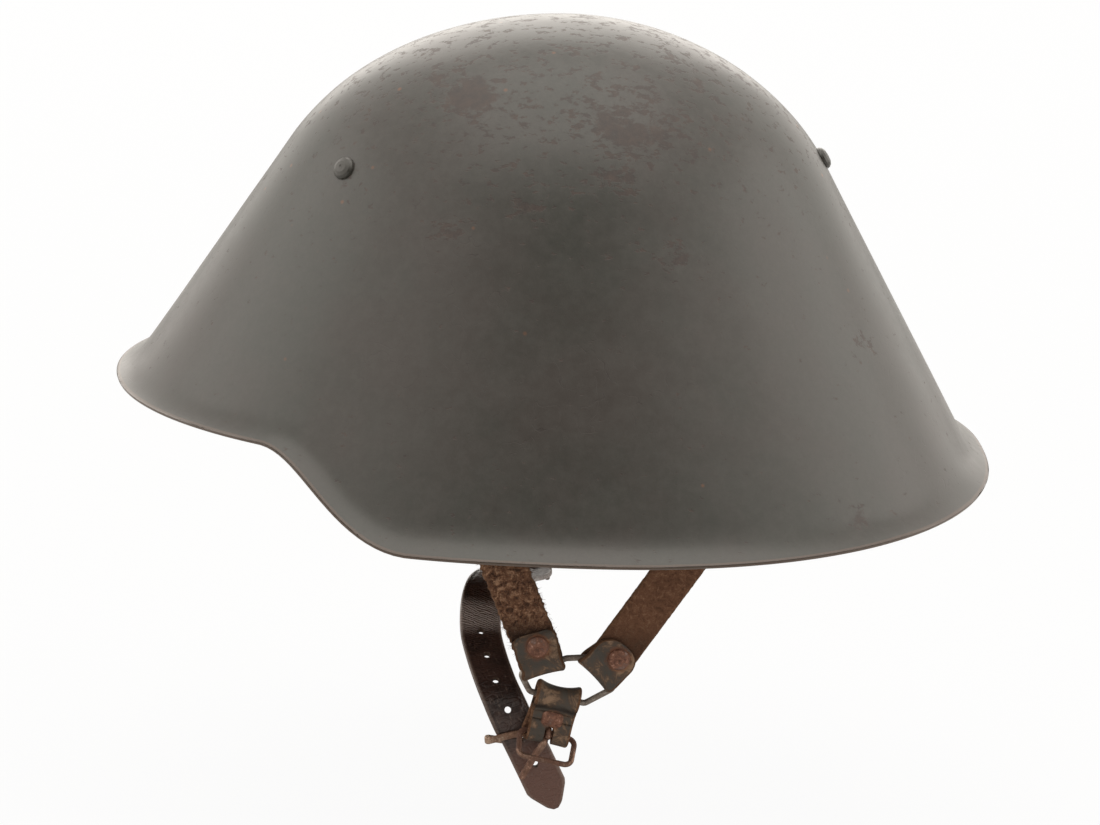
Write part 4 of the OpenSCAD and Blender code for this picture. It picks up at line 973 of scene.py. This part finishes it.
def cut(piece, points, faces):
    """Takes a closed solid out of a piece's mesh, with Blender's exact Boolean."""
    tool_mesh = bpy.data.meshes.new("punch")
    tool_mesh.from_pydata(np.asarray(points, float).reshape(-1, 3).tolist(), [], np.asarray(faces).tolist())
    merge_doubles(tool_mesh, 0.0000001)
    tool = bpy.data.objects.new("punch", tool_mesh)
    bpy.context.scene.collection.objects.link(tool)
    boolean = piece.modifiers.new("punched", "BOOLEAN")
    boolean.operation = "DIFFERENCE"
    boolean.solver = "EXACT"
    boolean.object = tool
    bpy.context.view_layer.update()
    finished = bpy.data.meshes.new_from_object(piece.evaluated_get(bpy.context.evaluated_depsgraph_get()))
    piece.modifiers.remove(boolean)
    piece.data = finished
    bpy.data.objects.remove(tool)
    bpy.data.meshes.remove(tool_mesh)


across_share = np.linspace(-1, 1, tab_columns)
top_along, top_out = fold_path(ring_wire, tab_length / 2, curl * np.abs(across_share) ** 2.2, hinge_play)
foot_along, foot_out = fold_path(bar_wire, tab_length / 2, 0.25 * mm * across_share ** 2)
belt_along = np.concatenate([top_along, tab_length - foot_along[::-1][:-1]])
belt_out = np.concatenate([top_out, foot_out[::-1][:-1]])
# The rows start behind, where the two runs meet, so that the front has no seam
belt_along, belt_out = [np.roll(run, 1 - len(top_along), axis=0) for run in (belt_along, belt_out)]
belt_out = belt_out - np.where(belt_out > 0, crease_depth, 0) * bell(belt_along - crease_along, crease_reach)
downwards = smooth(0, 1, belt_along / tab_length)
belt_aside = (tab_width / 2 - leather / 2) * across_share * (1 - 0.05 * downwards)
back_slip = back_shift * smooth(0.5 * mm, -1 * mm, belt_out) * downwards
belt_plane = tab_top + belt_along[..., None] * tab_down + (belt_aside + back_slip)[..., None] * tab_across
belt_loops, belt_faces = thicken(upright(belt_plane, 1, belt_out), leather / 2)
belt_grain = grain_share(belt_loops, tab_columns, -leftwards, len(foot_along) - 2)
belt_from_top = (belt_loops[..., [0, 2]] - tab_top) @ tab_down
belt_from_rivet = np.linalg.norm(belt_loops[..., [0, 2]] - tab_top - tab_rivet_along * tab_down, axis=-1)
# The crease mark says where the painted shade of the crease lies
belt_marks = {"grain": belt_grain, "stain": 0.5 * bell(belt_from_rivet - 3.2 * mm, 1.2 * mm),
              "crease": np.exp(-((belt_from_top - crease_along) / (1.0 * mm)) ** 4)}
tab_piece = make_piece("leather_buckle_tab", belt_loops, belt_faces, strap_leather, "buckle_tab",
                       "strap_leather", ["buckle_tab"], belt_marks)
slot_outline = [(-tab_length, -slot_width / 2), (-tab_length, slot_width / 2)]
slot_outline += [(slot_start - slot_width / 2 * (1 - math.sin(turn)), slot_width / 2 * math.cos(turn))
                 for turn in np.linspace(0, math.pi, 13)]
slot_plane = np.array([buckle_bar - up * tab_down + aside * tab_across for up, aside in slot_outline])
slot_rows = np.stack([upright(slot_plane, 1, depth) for depth in (-slot_reach, slot_reach)])
slot_ends = np.repeat(slot_rows.mean(axis=1, keepdims=True), slot_rows.shape[1], axis=1)
slot_solid = np.concatenate([slot_ends[:1], slot_rows, slot_ends[1:]])
cut(tab_piece, slot_solid, closed_solid(slot_solid, grid_faces(4, slot_rows.shape[1])))

# The tab's rivet is flatter than the others and was filed almost square.
flat_rivet = rivet_profile(0.98 * strap_rivet_radius, 0.45 * strap_rivet_rise, dimple=0.1)
tab_rivet_place = upright(tab_top + tab_rivet_along * tab_down, 1, leather)
flat_points, flat_faces = turned(flat_rivet, tab_rivet_place, leftwards)
from_middle = flat_points - tab_rivet_place
along_tab = from_middle[:, [0, 2]] @ tab_down
aside_tab = from_middle[:, [0, 2]] @ tab_across
round_size = np.maximum(np.hypot(along_tab, aside_tab), 1e-9)
squarer = round_size / np.maximum((np.abs(along_tab * 1.35) ** 5 + np.abs(aside_tab) ** 5) ** 0.2, 1e-9)
squared = (squarer * along_tab)[:, None] * tab_down + (squarer * aside_tab)[:, None] * tab_across
flat_points[:, [0, 2]] = tab_rivet_place[[0, 2]] + squared
make_piece("flat_tab_rivet", flat_points, flat_faces, rivet_metal, "buckle_tab", "rusted_steel",
           ["tab_rivet"], close=0.000001)

# The buckle's frame: one loop of round wire, its ends butted inside the tab, evenly rust-brown with
# mottled paler and darker spots. It narrows a little away from the bar.
buckle_rust = metal_finish("rust_brown_wire", "#92786a", 0.72, 0.5, ("#472d22", "#745242", "#a58573"),
                           "#6b5142")
buckle_half = 10 * mm
buckle_height = 11 * mm
buckle_bend = 2.6 * mm
buckle_tilt = math.radians(50)
frame_taper = 0.6 * mm


def at_bar(down, aside, out):
    """A point near the buckle's bar: so far down the tab's line, along the bar and outwards."""
    down, aside, out = np.broadcast_arrays(down, aside, out)
    return upright(buckle_bar + down[..., None] * tab_down + aside[..., None] * tab_across, 1, out)


narrow_half = buckle_half - frame_taper
frame_flat = rounded([(0, -buckle_half), (buckle_height, -narrow_half), (buckle_height, narrow_half),
                      (0, buckle_half)], buckle_bend, 8)
frame_path = at_bar(frame_flat[:, 0] * math.cos(buckle_tilt), frame_flat[:, 1],
                    frame_flat[:, 0] * math.sin(buckle_tilt))
frame_side = unit(np.cross(frame_path[9] - frame_path[0], frame_path[20] - frame_path[0]))
make_piece("wire_buckle_frame", *wire(frame_path, bar_wire, frame_side), buckle_rust, "buckle_frame",
           "rusted_steel", ["buckle_frame"])


def path_normal(path, side_way):
    """For each point of a path, the unit vectors across it, nearest to side_way, and square to its face."""
    along = unit(np.gradient(path, axis=0))
    side = unit(side_way - np.sum(along * side_way, axis=1, keepdims=True) * along)
    return side, np.cross(along, side)


def spline(knots, steps):
    """A smooth path through all knots: Catmull and Rom's cubic between each two, in so many steps."""
    knots = np.asarray(knots, float)
    padded = np.concatenate([2 * knots[:1] - knots[1:2], knots, 2 * knots[-1:] - knots[-2:-1]])
    t = np.linspace(0, 1, steps, endpoint=False)[:, None]
    runs = [0.5 * (2 * b + (c - a) * t + (2 * a - 5 * b + 4 * c - d) * t ** 2
                   + (3 * b - a - 3 * c + d) * t ** 3)
            for a, b, c, d in zip(padded, padded[1:], padded[2:], padded[3:])]
    return np.concatenate(runs + [knots[-1:]])


# The prong: steel wire, its eye bent round the bar in the tab's slot, rusted like the frame but rubbed
# paler. It leans across the strap and passes behind the frame's lower bar. Its end is cut square.
prong_wire = 1.1 * mm
prong_length = 19 * mm
prong_lean = 0.28
prong_way = unit(tab_down + prong_lean * tab_across)
prong_rise = 1.9 * mm
prong_fall = 1 * mm
across_strap = np.array((tab_across[0], 0.0, tab_across[1]))
bar_turn = np.linspace(math.radians(200), math.radians(-20), 14)
eye_radius = bar_wire + 0.06 * mm + prong_wire
eye_path = at_bar(-0.85 * eye_radius * np.sin(bar_turn), 0, -0.9 * eye_radius * np.cos(bar_turn))
shank_share = np.linspace(0.14, 1, 26)
shank_plane = buckle_bar + shank_share[:, None] * prong_length * prong_way
shank_out = prong_rise * bell(shank_share - 0.2, 0.16) - prong_fall * shank_share
prong_path = np.concatenate([eye_path, upright(shank_plane, 1, shank_out)])
prong_size = prong_wire * np.repeat((0.95, 1.12), (len(eye_path), len(shank_share)))
prong_rust = metal_finish("pale_rusted_prong", "#a08575", 0.7, 0.5, ("#5c4032", "#8a6654", "#b39482"),
                          "#806555")
prong = wire(prong_path, prong_size, across_strap, closed=False)
make_piece("bent_prong", *prong, prong_rust, "buckle_prong", "rusted_steel", ["buckle_prong"],
           close=0.000001)

# The keeper: a flat strip of thin steel bent to a long loop behind the tab. Lacquer and wear have
# turned it tan. Its front run is bowed upwards and its back run downwards.
keeper_finish = metal_finish("tan_lacquered_strip", "#b39d8b", 0.8, 0.5, ("#5c4233", "#8d6c57", "#b08e78"),
                             "#927a69")
bar_fold = bar_wire + fold_play + leather
seat_curved = 0.5 * mm
keeper_play = 0.5 * mm
keeper_sheet = 1 * mm
keeper_width = 4 * mm
strip_share = 0.66
front_rise = 2.1 * mm
back_drop = 2.4 * mm
keeper_length = 26.5 * mm
keeper_lean = math.radians(6)
keeper_middle = np.array((9.6, -80.2)) * mm
strap_depth = -bar_fold - seat_curved - keeper_sheet - keeper_play - leather / 2
keeper_deep = leather + 2 * keeper_play + keeper_sheet
loop_half = keeper_deep / 2
loop_turn = np.linspace(-math.pi / 2, math.pi / 2, 11)
loop_end = keeper_length / 2 - leather / 2 - keeper_play
half_x = np.append(loop_end + loop_half * np.cos(loop_turn), (0.3 * loop_end, -0.3 * loop_end))
half_out = np.append(loop_half * np.sin(loop_turn), (loop_half, loop_half))
loop_x = np.append(half_x, -half_x)[:, None]
loop_out = np.append(half_out, -half_out)[:, None]
strip_across = np.linspace(-1, 1, 7) * (strip_share * keeper_width - keeper_sheet) / 2
front_share = 0.5 + loop_out / keeper_deep
arch = np.cos(math.pi * loop_x / keeper_length) * (front_share * (front_rise + back_drop) - back_drop)
keeper_along = np.array((math.cos(keeper_lean), -math.sin(keeper_lean)))
keeper_up = np.array((math.sin(keeper_lean), math.cos(keeper_lean)))
keeper_plane = keeper_middle + loop_x[..., None] * keeper_along + (arch + strip_across)[..., None] * keeper_up
keeper_grid = upright(keeper_plane, 1, strap_depth + loop_out + 0 * strip_across)
make_piece("bent_strip_keeper", *thicken(keeper_grid, keeper_sheet / 2), keeper_finish, "buckle_tab",
           "keeper_steel", ["keeper_loop"])

# The chin strap: black-brown bridle leather, rubbed and polished, creased across where it bends, with a
# line pressed along each edge, punched holes and a blunt arrow tip. The far end is folded round its ring.
strap_width = 15.5 * mm
tip_length = 9 * mm
tip_blunt = 0.24
tip_neck = 0.05
hole_count = 6
hole_pitch = 11.2 * mm
hole_radius = 1.2 * mm
tip_to_hole = 18.5 * mm
far_lean = math.radians(75)
seat = 0.1 * mm
strap_columns = 25
bend_middle = 82 * mm
bend_reach = 13 * mm
wrinkle_depth = 0.16 * mm
wrinkle_pitch = 2.1
line_inset = 1.9 * mm
line_depth = 0.12 * mm
line_width = 0.4 * mm
far_down = np.array((tab_down[0], 0, tab_down[1]))
far_way = math.cos(far_lean) * far_down + math.sin(far_lean) * leftwards
far_out = math.sin(far_lean) * far_down - math.cos(far_lean) * leftwards
far_ring = np.array((tab_top[0], -yoke_y, tab_top[1]))
fold_radius = ring_wire + hinge_play + leather / 2
layer = leather / 2 + seat / 2


def far_point(along, out):
    """A point beside the far ring's wire: so far along the strap's lead, and out to its lower face."""
    return far_ring + along * far_way + out * far_out


# The knots of the strap's line, in order: the fold, the free arc under the helmet (in millimetres along and
# up, and in shares of the yokes' distance across) and the flat run from the keeper to the tip
chin_fold = [far_point(12 * mm, layer), far_point(9 * mm, layer), far_point(pinch + 1 * mm, layer)]
chin_fold += [far_point(fold_radius * math.cos(turn), fold_radius * math.sin(turn))
              for turn in np.radians(np.arange(60, 301, 24))]
chin_fold += [far_point(pinch + 1 * mm, -layer), far_point(pinch + 6 * mm, -layer)]
free_run = np.array([
    (5, -0.7, -63.5), (8, -0.49, -59), (11, -0.26, -52.5), (14.5, -0.05, -45.4), (18.5, 0.16, -39.8),
    (22.5, 0.35, -38.4), (25, 0.49, -42.4), (25.4, 0.62, -49.8), (23.4, 0.74, -56), (20.4, 0.841, -62.4),
    (17.9, 0.894, -67)]) * (mm, yoke_y, mm)
flat_knots = np.array([
    (15.5, -71.6), (13.3, -75.9), (10.8, -79.8), (5.6, -89.8), (0.2, -100.4), (-2.9, -106.6)])
flat_run = upright(flat_knots * mm, 1, strap_depth)
flat_run[0, 1] -= 0.5 * mm
fold_count = len(chin_fold) - 1
knot_steps = 14
chin_path = spline(np.concatenate([chin_fold, free_run, flat_run]), knot_steps)
chin_lengths = np.append(0, np.cumsum(np.linalg.norm(np.diff(chin_path, axis=0), axis=1)))
chin_left = chin_lengths[-1] - chin_lengths
in_fold = smooth(fold_count + 1.5, fold_count - 0.5, np.arange(len(chin_path)) / knot_steps)[:, None]
lie = in_fold * across_strap + (1 - in_fold) * np.array((1.0, 0.0, 0.0))
chin_across, chin_face = path_normal(chin_path, unit(lie))

# Across the strap the faces stay parallel; only the rounded rim and the pressed line near each edge
# change its thickness. The tip narrows over its last few millimetres.
tip_share = np.clip(chin_left / tip_length, 0, 1)
half_wide = strap_width / 2 * (tip_blunt + (1 - tip_blunt) * tip_share - tip_neck * bell(tip_share - 1, 0.12))
u = np.linspace(-1, 1, strap_columns)
aside_chin = (half_wide - leather / 2)[:, None] * u
bend_place = bell(chin_left - bend_middle, bend_reach)[:, None]
wrinkle_run = chin_left[:, None] / mm + 3.2 * np.abs(u) - 2.0 * u
wrinkle_wave = np.sin(2 * math.pi * wrinkle_run / wrinkle_pitch + 1.5 * np.sin(0.9 * wrinkle_run))
wrinkle = wrinkle_depth * bend_place * wrinkle_wave * (0.6 + 0.4 * np.sin(5 * u + 0.7 * wrinkle_run))
from_line = np.abs(aside_chin) - half_wide[:, None] + line_inset
groove = -line_depth * bell(from_line, line_width)
chin_grid = chin_path[:, None] + aside_chin[..., None] * chin_across[:, None]
chin_loops, chin_faces = thicken(chin_grid, leather / 2, end_rows(len(chin_path), 6))
edge_count = (chin_loops.shape[1] - 2 * strap_columns) // 2
first_side = slice(0, strap_columns)
second_side = slice(strap_columns + edge_count, 2 * strap_columns + edge_count)
face_way = unit(chin_loops[:, first_side] - chin_loops[:, second_side][:, ::-1])
outer_first = face_way[-20, strap_columns // 2] @ leftwards > 0
relief = (wrinkle + groove)[..., None] * face_way
first_relief, second_relief = (relief, 0.3 * relief) if outer_first else (0.3 * relief, relief)
chin_loops[:, first_side] += first_relief
chin_loops[:, second_side] -= second_relief[:, ::-1]

# The marks that the leather's look needs, one value for each point, and the flat strap's own coordinates
one_each = chin_loops.shape[:2]
edge_ones = np.ones(edge_count)
from_tip = np.broadcast_to(chin_left[:, None], one_each)
chin_marks = {
    "grain": grain_share(chin_loops, strap_columns, -leftwards, len(chin_path) - 60),
    "tip": smooth(42 * mm, 12 * mm, from_tip),
    "rim": np.broadcast_to(np.concatenate([np.abs(u), edge_ones, np.abs(u), edge_ones]) ** 12, one_each),
    "bend": np.broadcast_to(bend_place, one_each)}
flat_across = np.concatenate([u, edge_ones, u[::-1], -edge_ones]) * strap_width / 2
chin_uv = np.stack([from_tip, np.broadcast_to(flat_across, one_each)], axis=-1)

polish_black = linear("#2f2421")
polish_brown = linear("#44322d")
tip_red = linear("#67493f")
rubbed_edge = linear("#7b6a60")
raw_back = linear("#4a3628")
# A painted highlight: the pale colour that the bend's wrinkle tops get in place of a lamp's shine
painted_bend_highlight = linear("#b3a5a0")

chin_leather, tree = new_material("black_brown_bridle_leather")
spot = add(tree, "TexCoord", out="Object")
flat = add(tree, "TexCoord", out="UV")
bend = add(tree, "Attribute", out="Fac", attribute_name="bend")
cloud = add(tree, "TexNoise", {"Vector": spot, "Scale": per_metre(9), "Detail": 6, "Roughness": 0.65})
tip_red_share = summed_ramp(tree, cloud, 0.6, add(tree, "Attribute", out="Fac", attribute_name="tip"), 0.5,
    1.2)
tone = add(tree, "Mix", {
    0: add(tree, "MapRange", {"Value": cloud, "From Min": 0.35, "From Max": 0.65},
        interpolation_type="SMOOTHSTEP"), 6: polish_black, 7: polish_brown}, "Result", data_type="RGBA")
tone = add(tree, "Mix", {0: tip_red_share, 6: tone, 7: tip_red}, "Result", data_type="RGBA")
hairline = add(tree, "TexNoise", {
    "Vector": add(tree, "Mapping", {"Vector": flat, "Scale": (0.35, 1.0, 1.0),
        "Rotation": (0.0, 0.0, 0.9)}), "Scale": per_metre(1.1), "Detail": 3, "Roughness": 0.6})
tone = cover(tree, tone, rubbed_edge,
    add(tree, "MapRange", {"Value": hairline, "From Min": 0.56, "From Max": 0.7},
        interpolation_type="SMOOTHSTEP"), 0.42)
rim_share = summed_ramp(tree, cloud, 0.5, add(tree, "Attribute", out="Fac", attribute_name="rim"), 0.75,
    1.4)
tone = cover(tree, tone, rubbed_edge, rim_share, 0.5)
# Fine wrinkles run askew across the bend; a painted highlight, a pale colour laid on the tops between them,
# stands for a lamp's shine there
wave_unit = 0.314
wrinkles = add(tree, "TexWave", {
    "Vector": add(tree, "Mapping", {"Vector": flat, "Rotation": (0.0, 0.0, 0.35)}),
    "Scale": wave_unit * per_metre(0.9), "Distortion": 6.0, "Detail": 3.0, "Detail Scale": 0.6,
    "Detail Roughness": 0.6}, "Fac", bands_direction="X")
highlight_on_tops = add(tree, "Math", {0: wrinkles, 1: 0.45, 2: 0.45}, operation="MULTIPLY_ADD")
tone = add(tree, "Mix", {
    0: add(tree, "Math", {
        0: add(tree, "MapRange", {"Value": bend, "From Min": 0.6, "From Max": 1.0},
            interpolation_type="SMOOTHSTEP"), 1: highlight_on_tops}, operation="MULTIPLY"), 6: tone,
    7: painted_bend_highlight}, "Result", data_type="RGBA")
is_back = add(tree, "MapRange", {"Value": add(tree, "Attribute", out="Fac", attribute_name="grain"),
    "From Min": 0.4, "From Max": 0.1}, interpolation_type="SMOOTHSTEP")
creases = add(tree, "TexVoronoi", {
    "Vector": add(tree, "Mapping", {"Vector": flat, "Scale": (1.0, 0.3, 1.0),
        "Rotation": (0.0, 0.0, 0.25)}), "Scale": per_metre(1.7), "Randomness": 1.0}, "Distance",
    feature="DISTANCE_TO_EDGE")
crease_height = add(tree, "Math", {
    0: add(tree, "MapRange", {"Value": creases, "From Min": 0.0, "From Max": 0.16},
        interpolation_type="SMOOTHSTEP"),
    1: add(tree, "Math", {0: bend, 1: 0.6, 2: 0.5}, operation="MULTIPLY_ADD")}, operation="MULTIPLY")
height = add(tree, "Math", {
    0: add(tree, "TexNoise", {"Vector": spot, "Scale": per_metre(0.8), "Detail": 3}), 1: 0.55,
    2: add(tree, "Math", {0: wrinkles, 1: bend, 2: crease_height}, operation="MULTIPLY_ADD")},
    operation="MULTIPLY_ADD")
dullness = add(tree, "Math", {0: tip_red_share, 1: 0.16,
    2: add(tree, "MapRange", {"Value": is_back, "To Min": 0.3, "To Max": 0.85})}, operation="MULTIPLY_ADD")
finish(tree, add(tree, "Mix", {0: is_back, 6: tone, 7: raw_back}, "Result", data_type="RGBA"), dullness,
    height, 0.00035, 0.6, IOR=1.5)

chin_piece = make_piece("punched_chin_strap", chin_loops, chin_faces, chin_leather, "chin_strap",
                        "chin_leather", ["chin_strap"], chin_marks, chin_uv)
punch_half = 3 * leather
punch = [(0, -punch_half), (hole_radius, -punch_half), (hole_radius, punch_half), (0, punch_half)]
for number in range(hole_count):
    station = np.argmin(np.abs(chin_left - tip_to_hole - number * hole_pitch))
    cut(chin_piece, *turned(punch, chin_path[station], chin_face[station], 24))
chin_rivet_place = far_point(rivet_along + 1 * mm, leather + seat / 2)
chin_rivet = rivet_profile(strap_rivet_radius, strap_rivet_rise, 2 * leather + seat)
make_piece("chin_rivet_head", *turned(chin_rivet, chin_rivet_place, far_out), rivet_metal, "chin_strap",
           "rusted_steel", ["chin_strap_rivet"], close=0.000001)


# The hung liner's steel: three hangers riveted through the shell carry an outer band, and eight bowed
# springs hold an inner band inside it. All are cold-rolled strip with a thin dull zinc coat.
band_steel = metal_finish("zinc_coated_strip", "#8a8b87", 0.9, 0.42)
fastener_steel = metal_finish("zinc_coated_fasteners", "#96948c", 0.84, 0.4)


def dress(node, material, softened):
    """Gives a CAD part its finish and rounds its cut edges a little."""
    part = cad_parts[node]
    part.data.materials.clear()
    part.data.materials.append(material)
    soft = part.modifiers.new("softened_edges", "BEVEL")
    soft.width = softened
    soft.segments = 2
    soft.limit_method = "ANGLE"
    soft.angle_limit = math.radians(40)
    soft.harden_normals = True


for node in ("carrier_ring", "inner_band", "band_springs", "hanger_front_left", "hanger_front_right",
             "hanger_rear", "clip_left_front", "clip_left_rear", "clip_right_front", "clip_right_rear"):
    dress(node, band_steel, 0.2 * mm)
for node in ("hanger_rivets", "liner_rivets", "clip_rivets", "rivet_washers"):
    dress(node, fastener_steel, 0.15 * mm)
dress("shell_rivets", shell_paint, 0.3 * mm)

# The felt pad: a band of pressed grey felt between the inner band and the leather, with a slightly
# wavy face. It is cut from sheet and bent to a ring.
band_low, band_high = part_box("felt_pad")
felt_thick = 3 * mm
head_squareness = 2.4
head_stations = 200
felt_across = 11
felt_filling = 0.96
liner_filling = 0.97
tongue_filling = 0.95
felt_wave = 0.18 * mm
felt_wave_length = 9 * mm


def head_ring(turn, half_length, half_width, squareness=head_squareness):
    """A superellipse in plan: the half length and width times signed powers of the turn's cosine and
    sine."""
    return np.stack([half_length * signed_power(np.cos(turn), 2 / squareness),
                     half_width * signed_power(np.sin(turn), 2 / squareness)], axis=-1)


felt_stuff = new_fibre("pressed_grey_felt", "#3d3b36", "#6a665d", "#837e72", 1.2, 0.95, 0.0006)
felt_turn = full_turn(head_stations)[:, None] + np.zeros(felt_across)
felt_height = np.linspace(band_low.z, band_high.z, felt_across) + 0 * felt_turn
felt_plan = head_ring(felt_turn, band_high.x - felt_thick / 2, band_high.y - felt_thick / 2)
felt_grid = np.concatenate([felt_plan, felt_height[..., None]], axis=-1)
felt_loops, felt_faces = thicken(felt_grid, felt_thick / 2 * felt_filling)
felt_loops[..., 2] += felt_wave * ripple(felt_loops, felt_wave_length)
make_piece("pressed_felt_pad", felt_loops, felt_faces, felt_stuff, "helmet", "felt", ["felt_pad"])

# The leather liner: a sweatband of one strip, and eight tongues that rise from it and close in over
# the head. A cord through their tips sets how deep the helmet sits.
liner_low, liner_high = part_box("leather_liner")
liner_thick = 1.8 * mm
tongues = 8
tongue_foot = 74 * mm
tongue_rise = 64 * mm
tongue_columns = 17
tongue_rows = 46
tongue_length = 75 * mm
tongue_corner = 6 * mm
tongue_foot_turn = math.radians(8)
tongue_droop = 1.5 * mm
tongue_wave = 0.25 * mm
tongue_wave_length = 30 * mm
sweat_rows = 15
sweat_overlap = 7 * mm
sweat_lean = 0.6 * mm
head_middle = 70 * mm
root_gap = 3 * mm
top_gap = 7 * mm
top_share = 0.235
cord_share = 0.36


def liner_points(turn, share):
    """The tongues' outer face: from their feet, share 1, to the top the plan shrinks by the share and
    turns from a superellipse to an ellipse, while the height follows a quarter of an ellipse."""
    plan = head_ring(turn, liner_high.x, liner_high.y, 2 + (head_squareness - 2) * smooth(0.5, 1, share))
    height = tongue_foot + tongue_rise * np.sqrt(1 - share ** 2)
    return np.concatenate([share[..., None] * plan, height[..., None]], axis=-1)


liner_hide, tree = new_material("tan_liner_leather")
spot = add(tree, "TexCoord", out="Object")
cloud = add(tree, "TexNoise", {"Vector": spot, "Scale": per_metre(26), "Detail": 6, "Roughness": 0.6})
tone = add(tree, "Mix", {
    0: add(tree, "MapRange", {"Value": cloud, "From Min": 0.36, "From Max": 0.66},
        interpolation_type="SMOOTHSTEP"), 6: linear("#6f4729"), 7: linear("#93663e")}, "Result",
    data_type="RGBA")
fold = add(tree, "TexNoise", {"Vector": spot, "Scale": per_metre(7), "Detail": 7, "Roughness": 0.7,
    "Distortion": 0.8})
dirty = cover(tree, tone, linear("#3f2a1b"),
    add(tree, "MapRange", {"Value": fold, "From Min": 0.52, "From Max": 0.75},
        interpolation_type="SMOOTHSTEP"), 0.55)
pore = add(tree, "TexVoronoi", {"Vector": spot, "Scale": per_metre(1.1)}, "Distance")
finish(tree, dirty, 0.52, add(tree, "Math", {0: fold, 1: 2.0, 2: pore}, operation="MULTIPLY_ADD"), 0.0003,
    0.6, IOR=1.45)


def inset(grid, depth):
    """A grid of points moved along its normals, towards the middle of the head."""
    normal = unit(np.cross(np.gradient(grid, axis=0), np.gradient(grid, axis=1)))
    inward = (0, 0, head_middle) - grid
    normal = normal * np.sign(np.sum(normal * inward, axis=-1, keepdims=True))
    return grid + depth[..., None] * normal


sweat_turn = full_turn(head_stations)[:, None] + np.zeros(sweat_rows)
sweat_height = np.linspace(liner_low.z, tongue_foot + sweat_overlap, sweat_rows) + 0 * sweat_turn
sweat_plan = head_ring(sweat_turn, liner_high.x - liner_thick / 2, liner_high.y - liner_thick / 2)
lean_in = sweat_lean * smooth(0, sweat_overlap, sweat_height - tongue_foot) / liner_high.y
sweat_grid = np.concatenate([sweat_plan * (1 - lean_in)[..., None], sweat_height[..., None]], axis=-1)
liner_parts = [thicken(sweat_grid, liner_thick / 2 * liner_filling)]
v = np.linspace(0, 1, tongue_rows)
tongue_share = np.cos(tongue_foot_turn + (math.acos(top_share) - tongue_foot_turn) * v)
gap = top_gap + (root_gap - top_gap) * tongue_share / 1.2
half_turn = math.pi / tongues - np.arcsin(gap / (tongue_share * (liner_high.x + liner_high.y)))
corner = 1 - np.clip((1 - v) * tongue_length / tongue_corner, 0, 1)
half_turn = half_turn * np.sqrt(np.clip(1 - corner ** 2, 0.06, 1))
tongue_across = np.linspace(-1, 1, tongue_columns)
sag = np.sin(math.pi * v)[:, None]
for turn in full_turn(tongues):
    grid = liner_points(turn + half_turn[:, None] * tongue_across, tongue_share[:, None] + 0 * tongue_across)
    bulge = tongue_droop * (1 - tongue_across ** 2) + tongue_wave * (1 + ripple(grid, tongue_wave_length))
    grid = inset(grid, liner_thick / 2 + bulge * sag)
    liner_parts.append(thicken(grid, liner_thick / 2 * tongue_filling, end_rows(tongue_rows)))
liner = join([(loops.reshape(-1, 3), faces) for loops, faces in liner_parts])
make_piece("tongued_leather_liner", *liner, liner_hide, "helmet", "liner_leather", ["leather_liner"])

# The drawstring: a three-strand cord laced in and out through the tongues' tips.
cord_radius = 1.1 * mm
cord_wave = 4 * mm
cord_sides = 18
cord_lays = 60
lay_depth = 0.18
cord_turn = full_turn(260)
cord_height = tongue_foot + tongue_rise * math.sqrt(1 - cord_share ** 2) - liner_thick / 2
cord_path = np.stack([
    cord_share * liner_high.x * np.cos(cord_turn), cord_share * liner_high.y * np.sin(cord_turn),
    cord_height + cord_wave * np.sin(cord_turn * tongues / 2)], axis=-1)
cord_points, cord_faces = wire(cord_path, cord_radius, np.array((0.0, 0.0, 1.0)), cord_sides)
lay = np.abs(np.cos(1.5 * (full_turn(cord_sides) + cord_lays * cord_turn[:, None])))
cord_centres = np.repeat(cord_path, cord_sides, axis=0)
cord_points = cord_centres + (cord_points - cord_centres) * (1 - lay_depth + lay_depth * lay).reshape(-1, 1)
cord_stuff = new_fibre("twisted_cotton_cord", "#8d8268", "#b5aa8e", "#c9bfa5", 0.5, 0.9, 0.0002)
make_piece("laced_drawstring", cord_points, cord_faces, cord_stuff, "helmet", "cord", ["drawstring"])
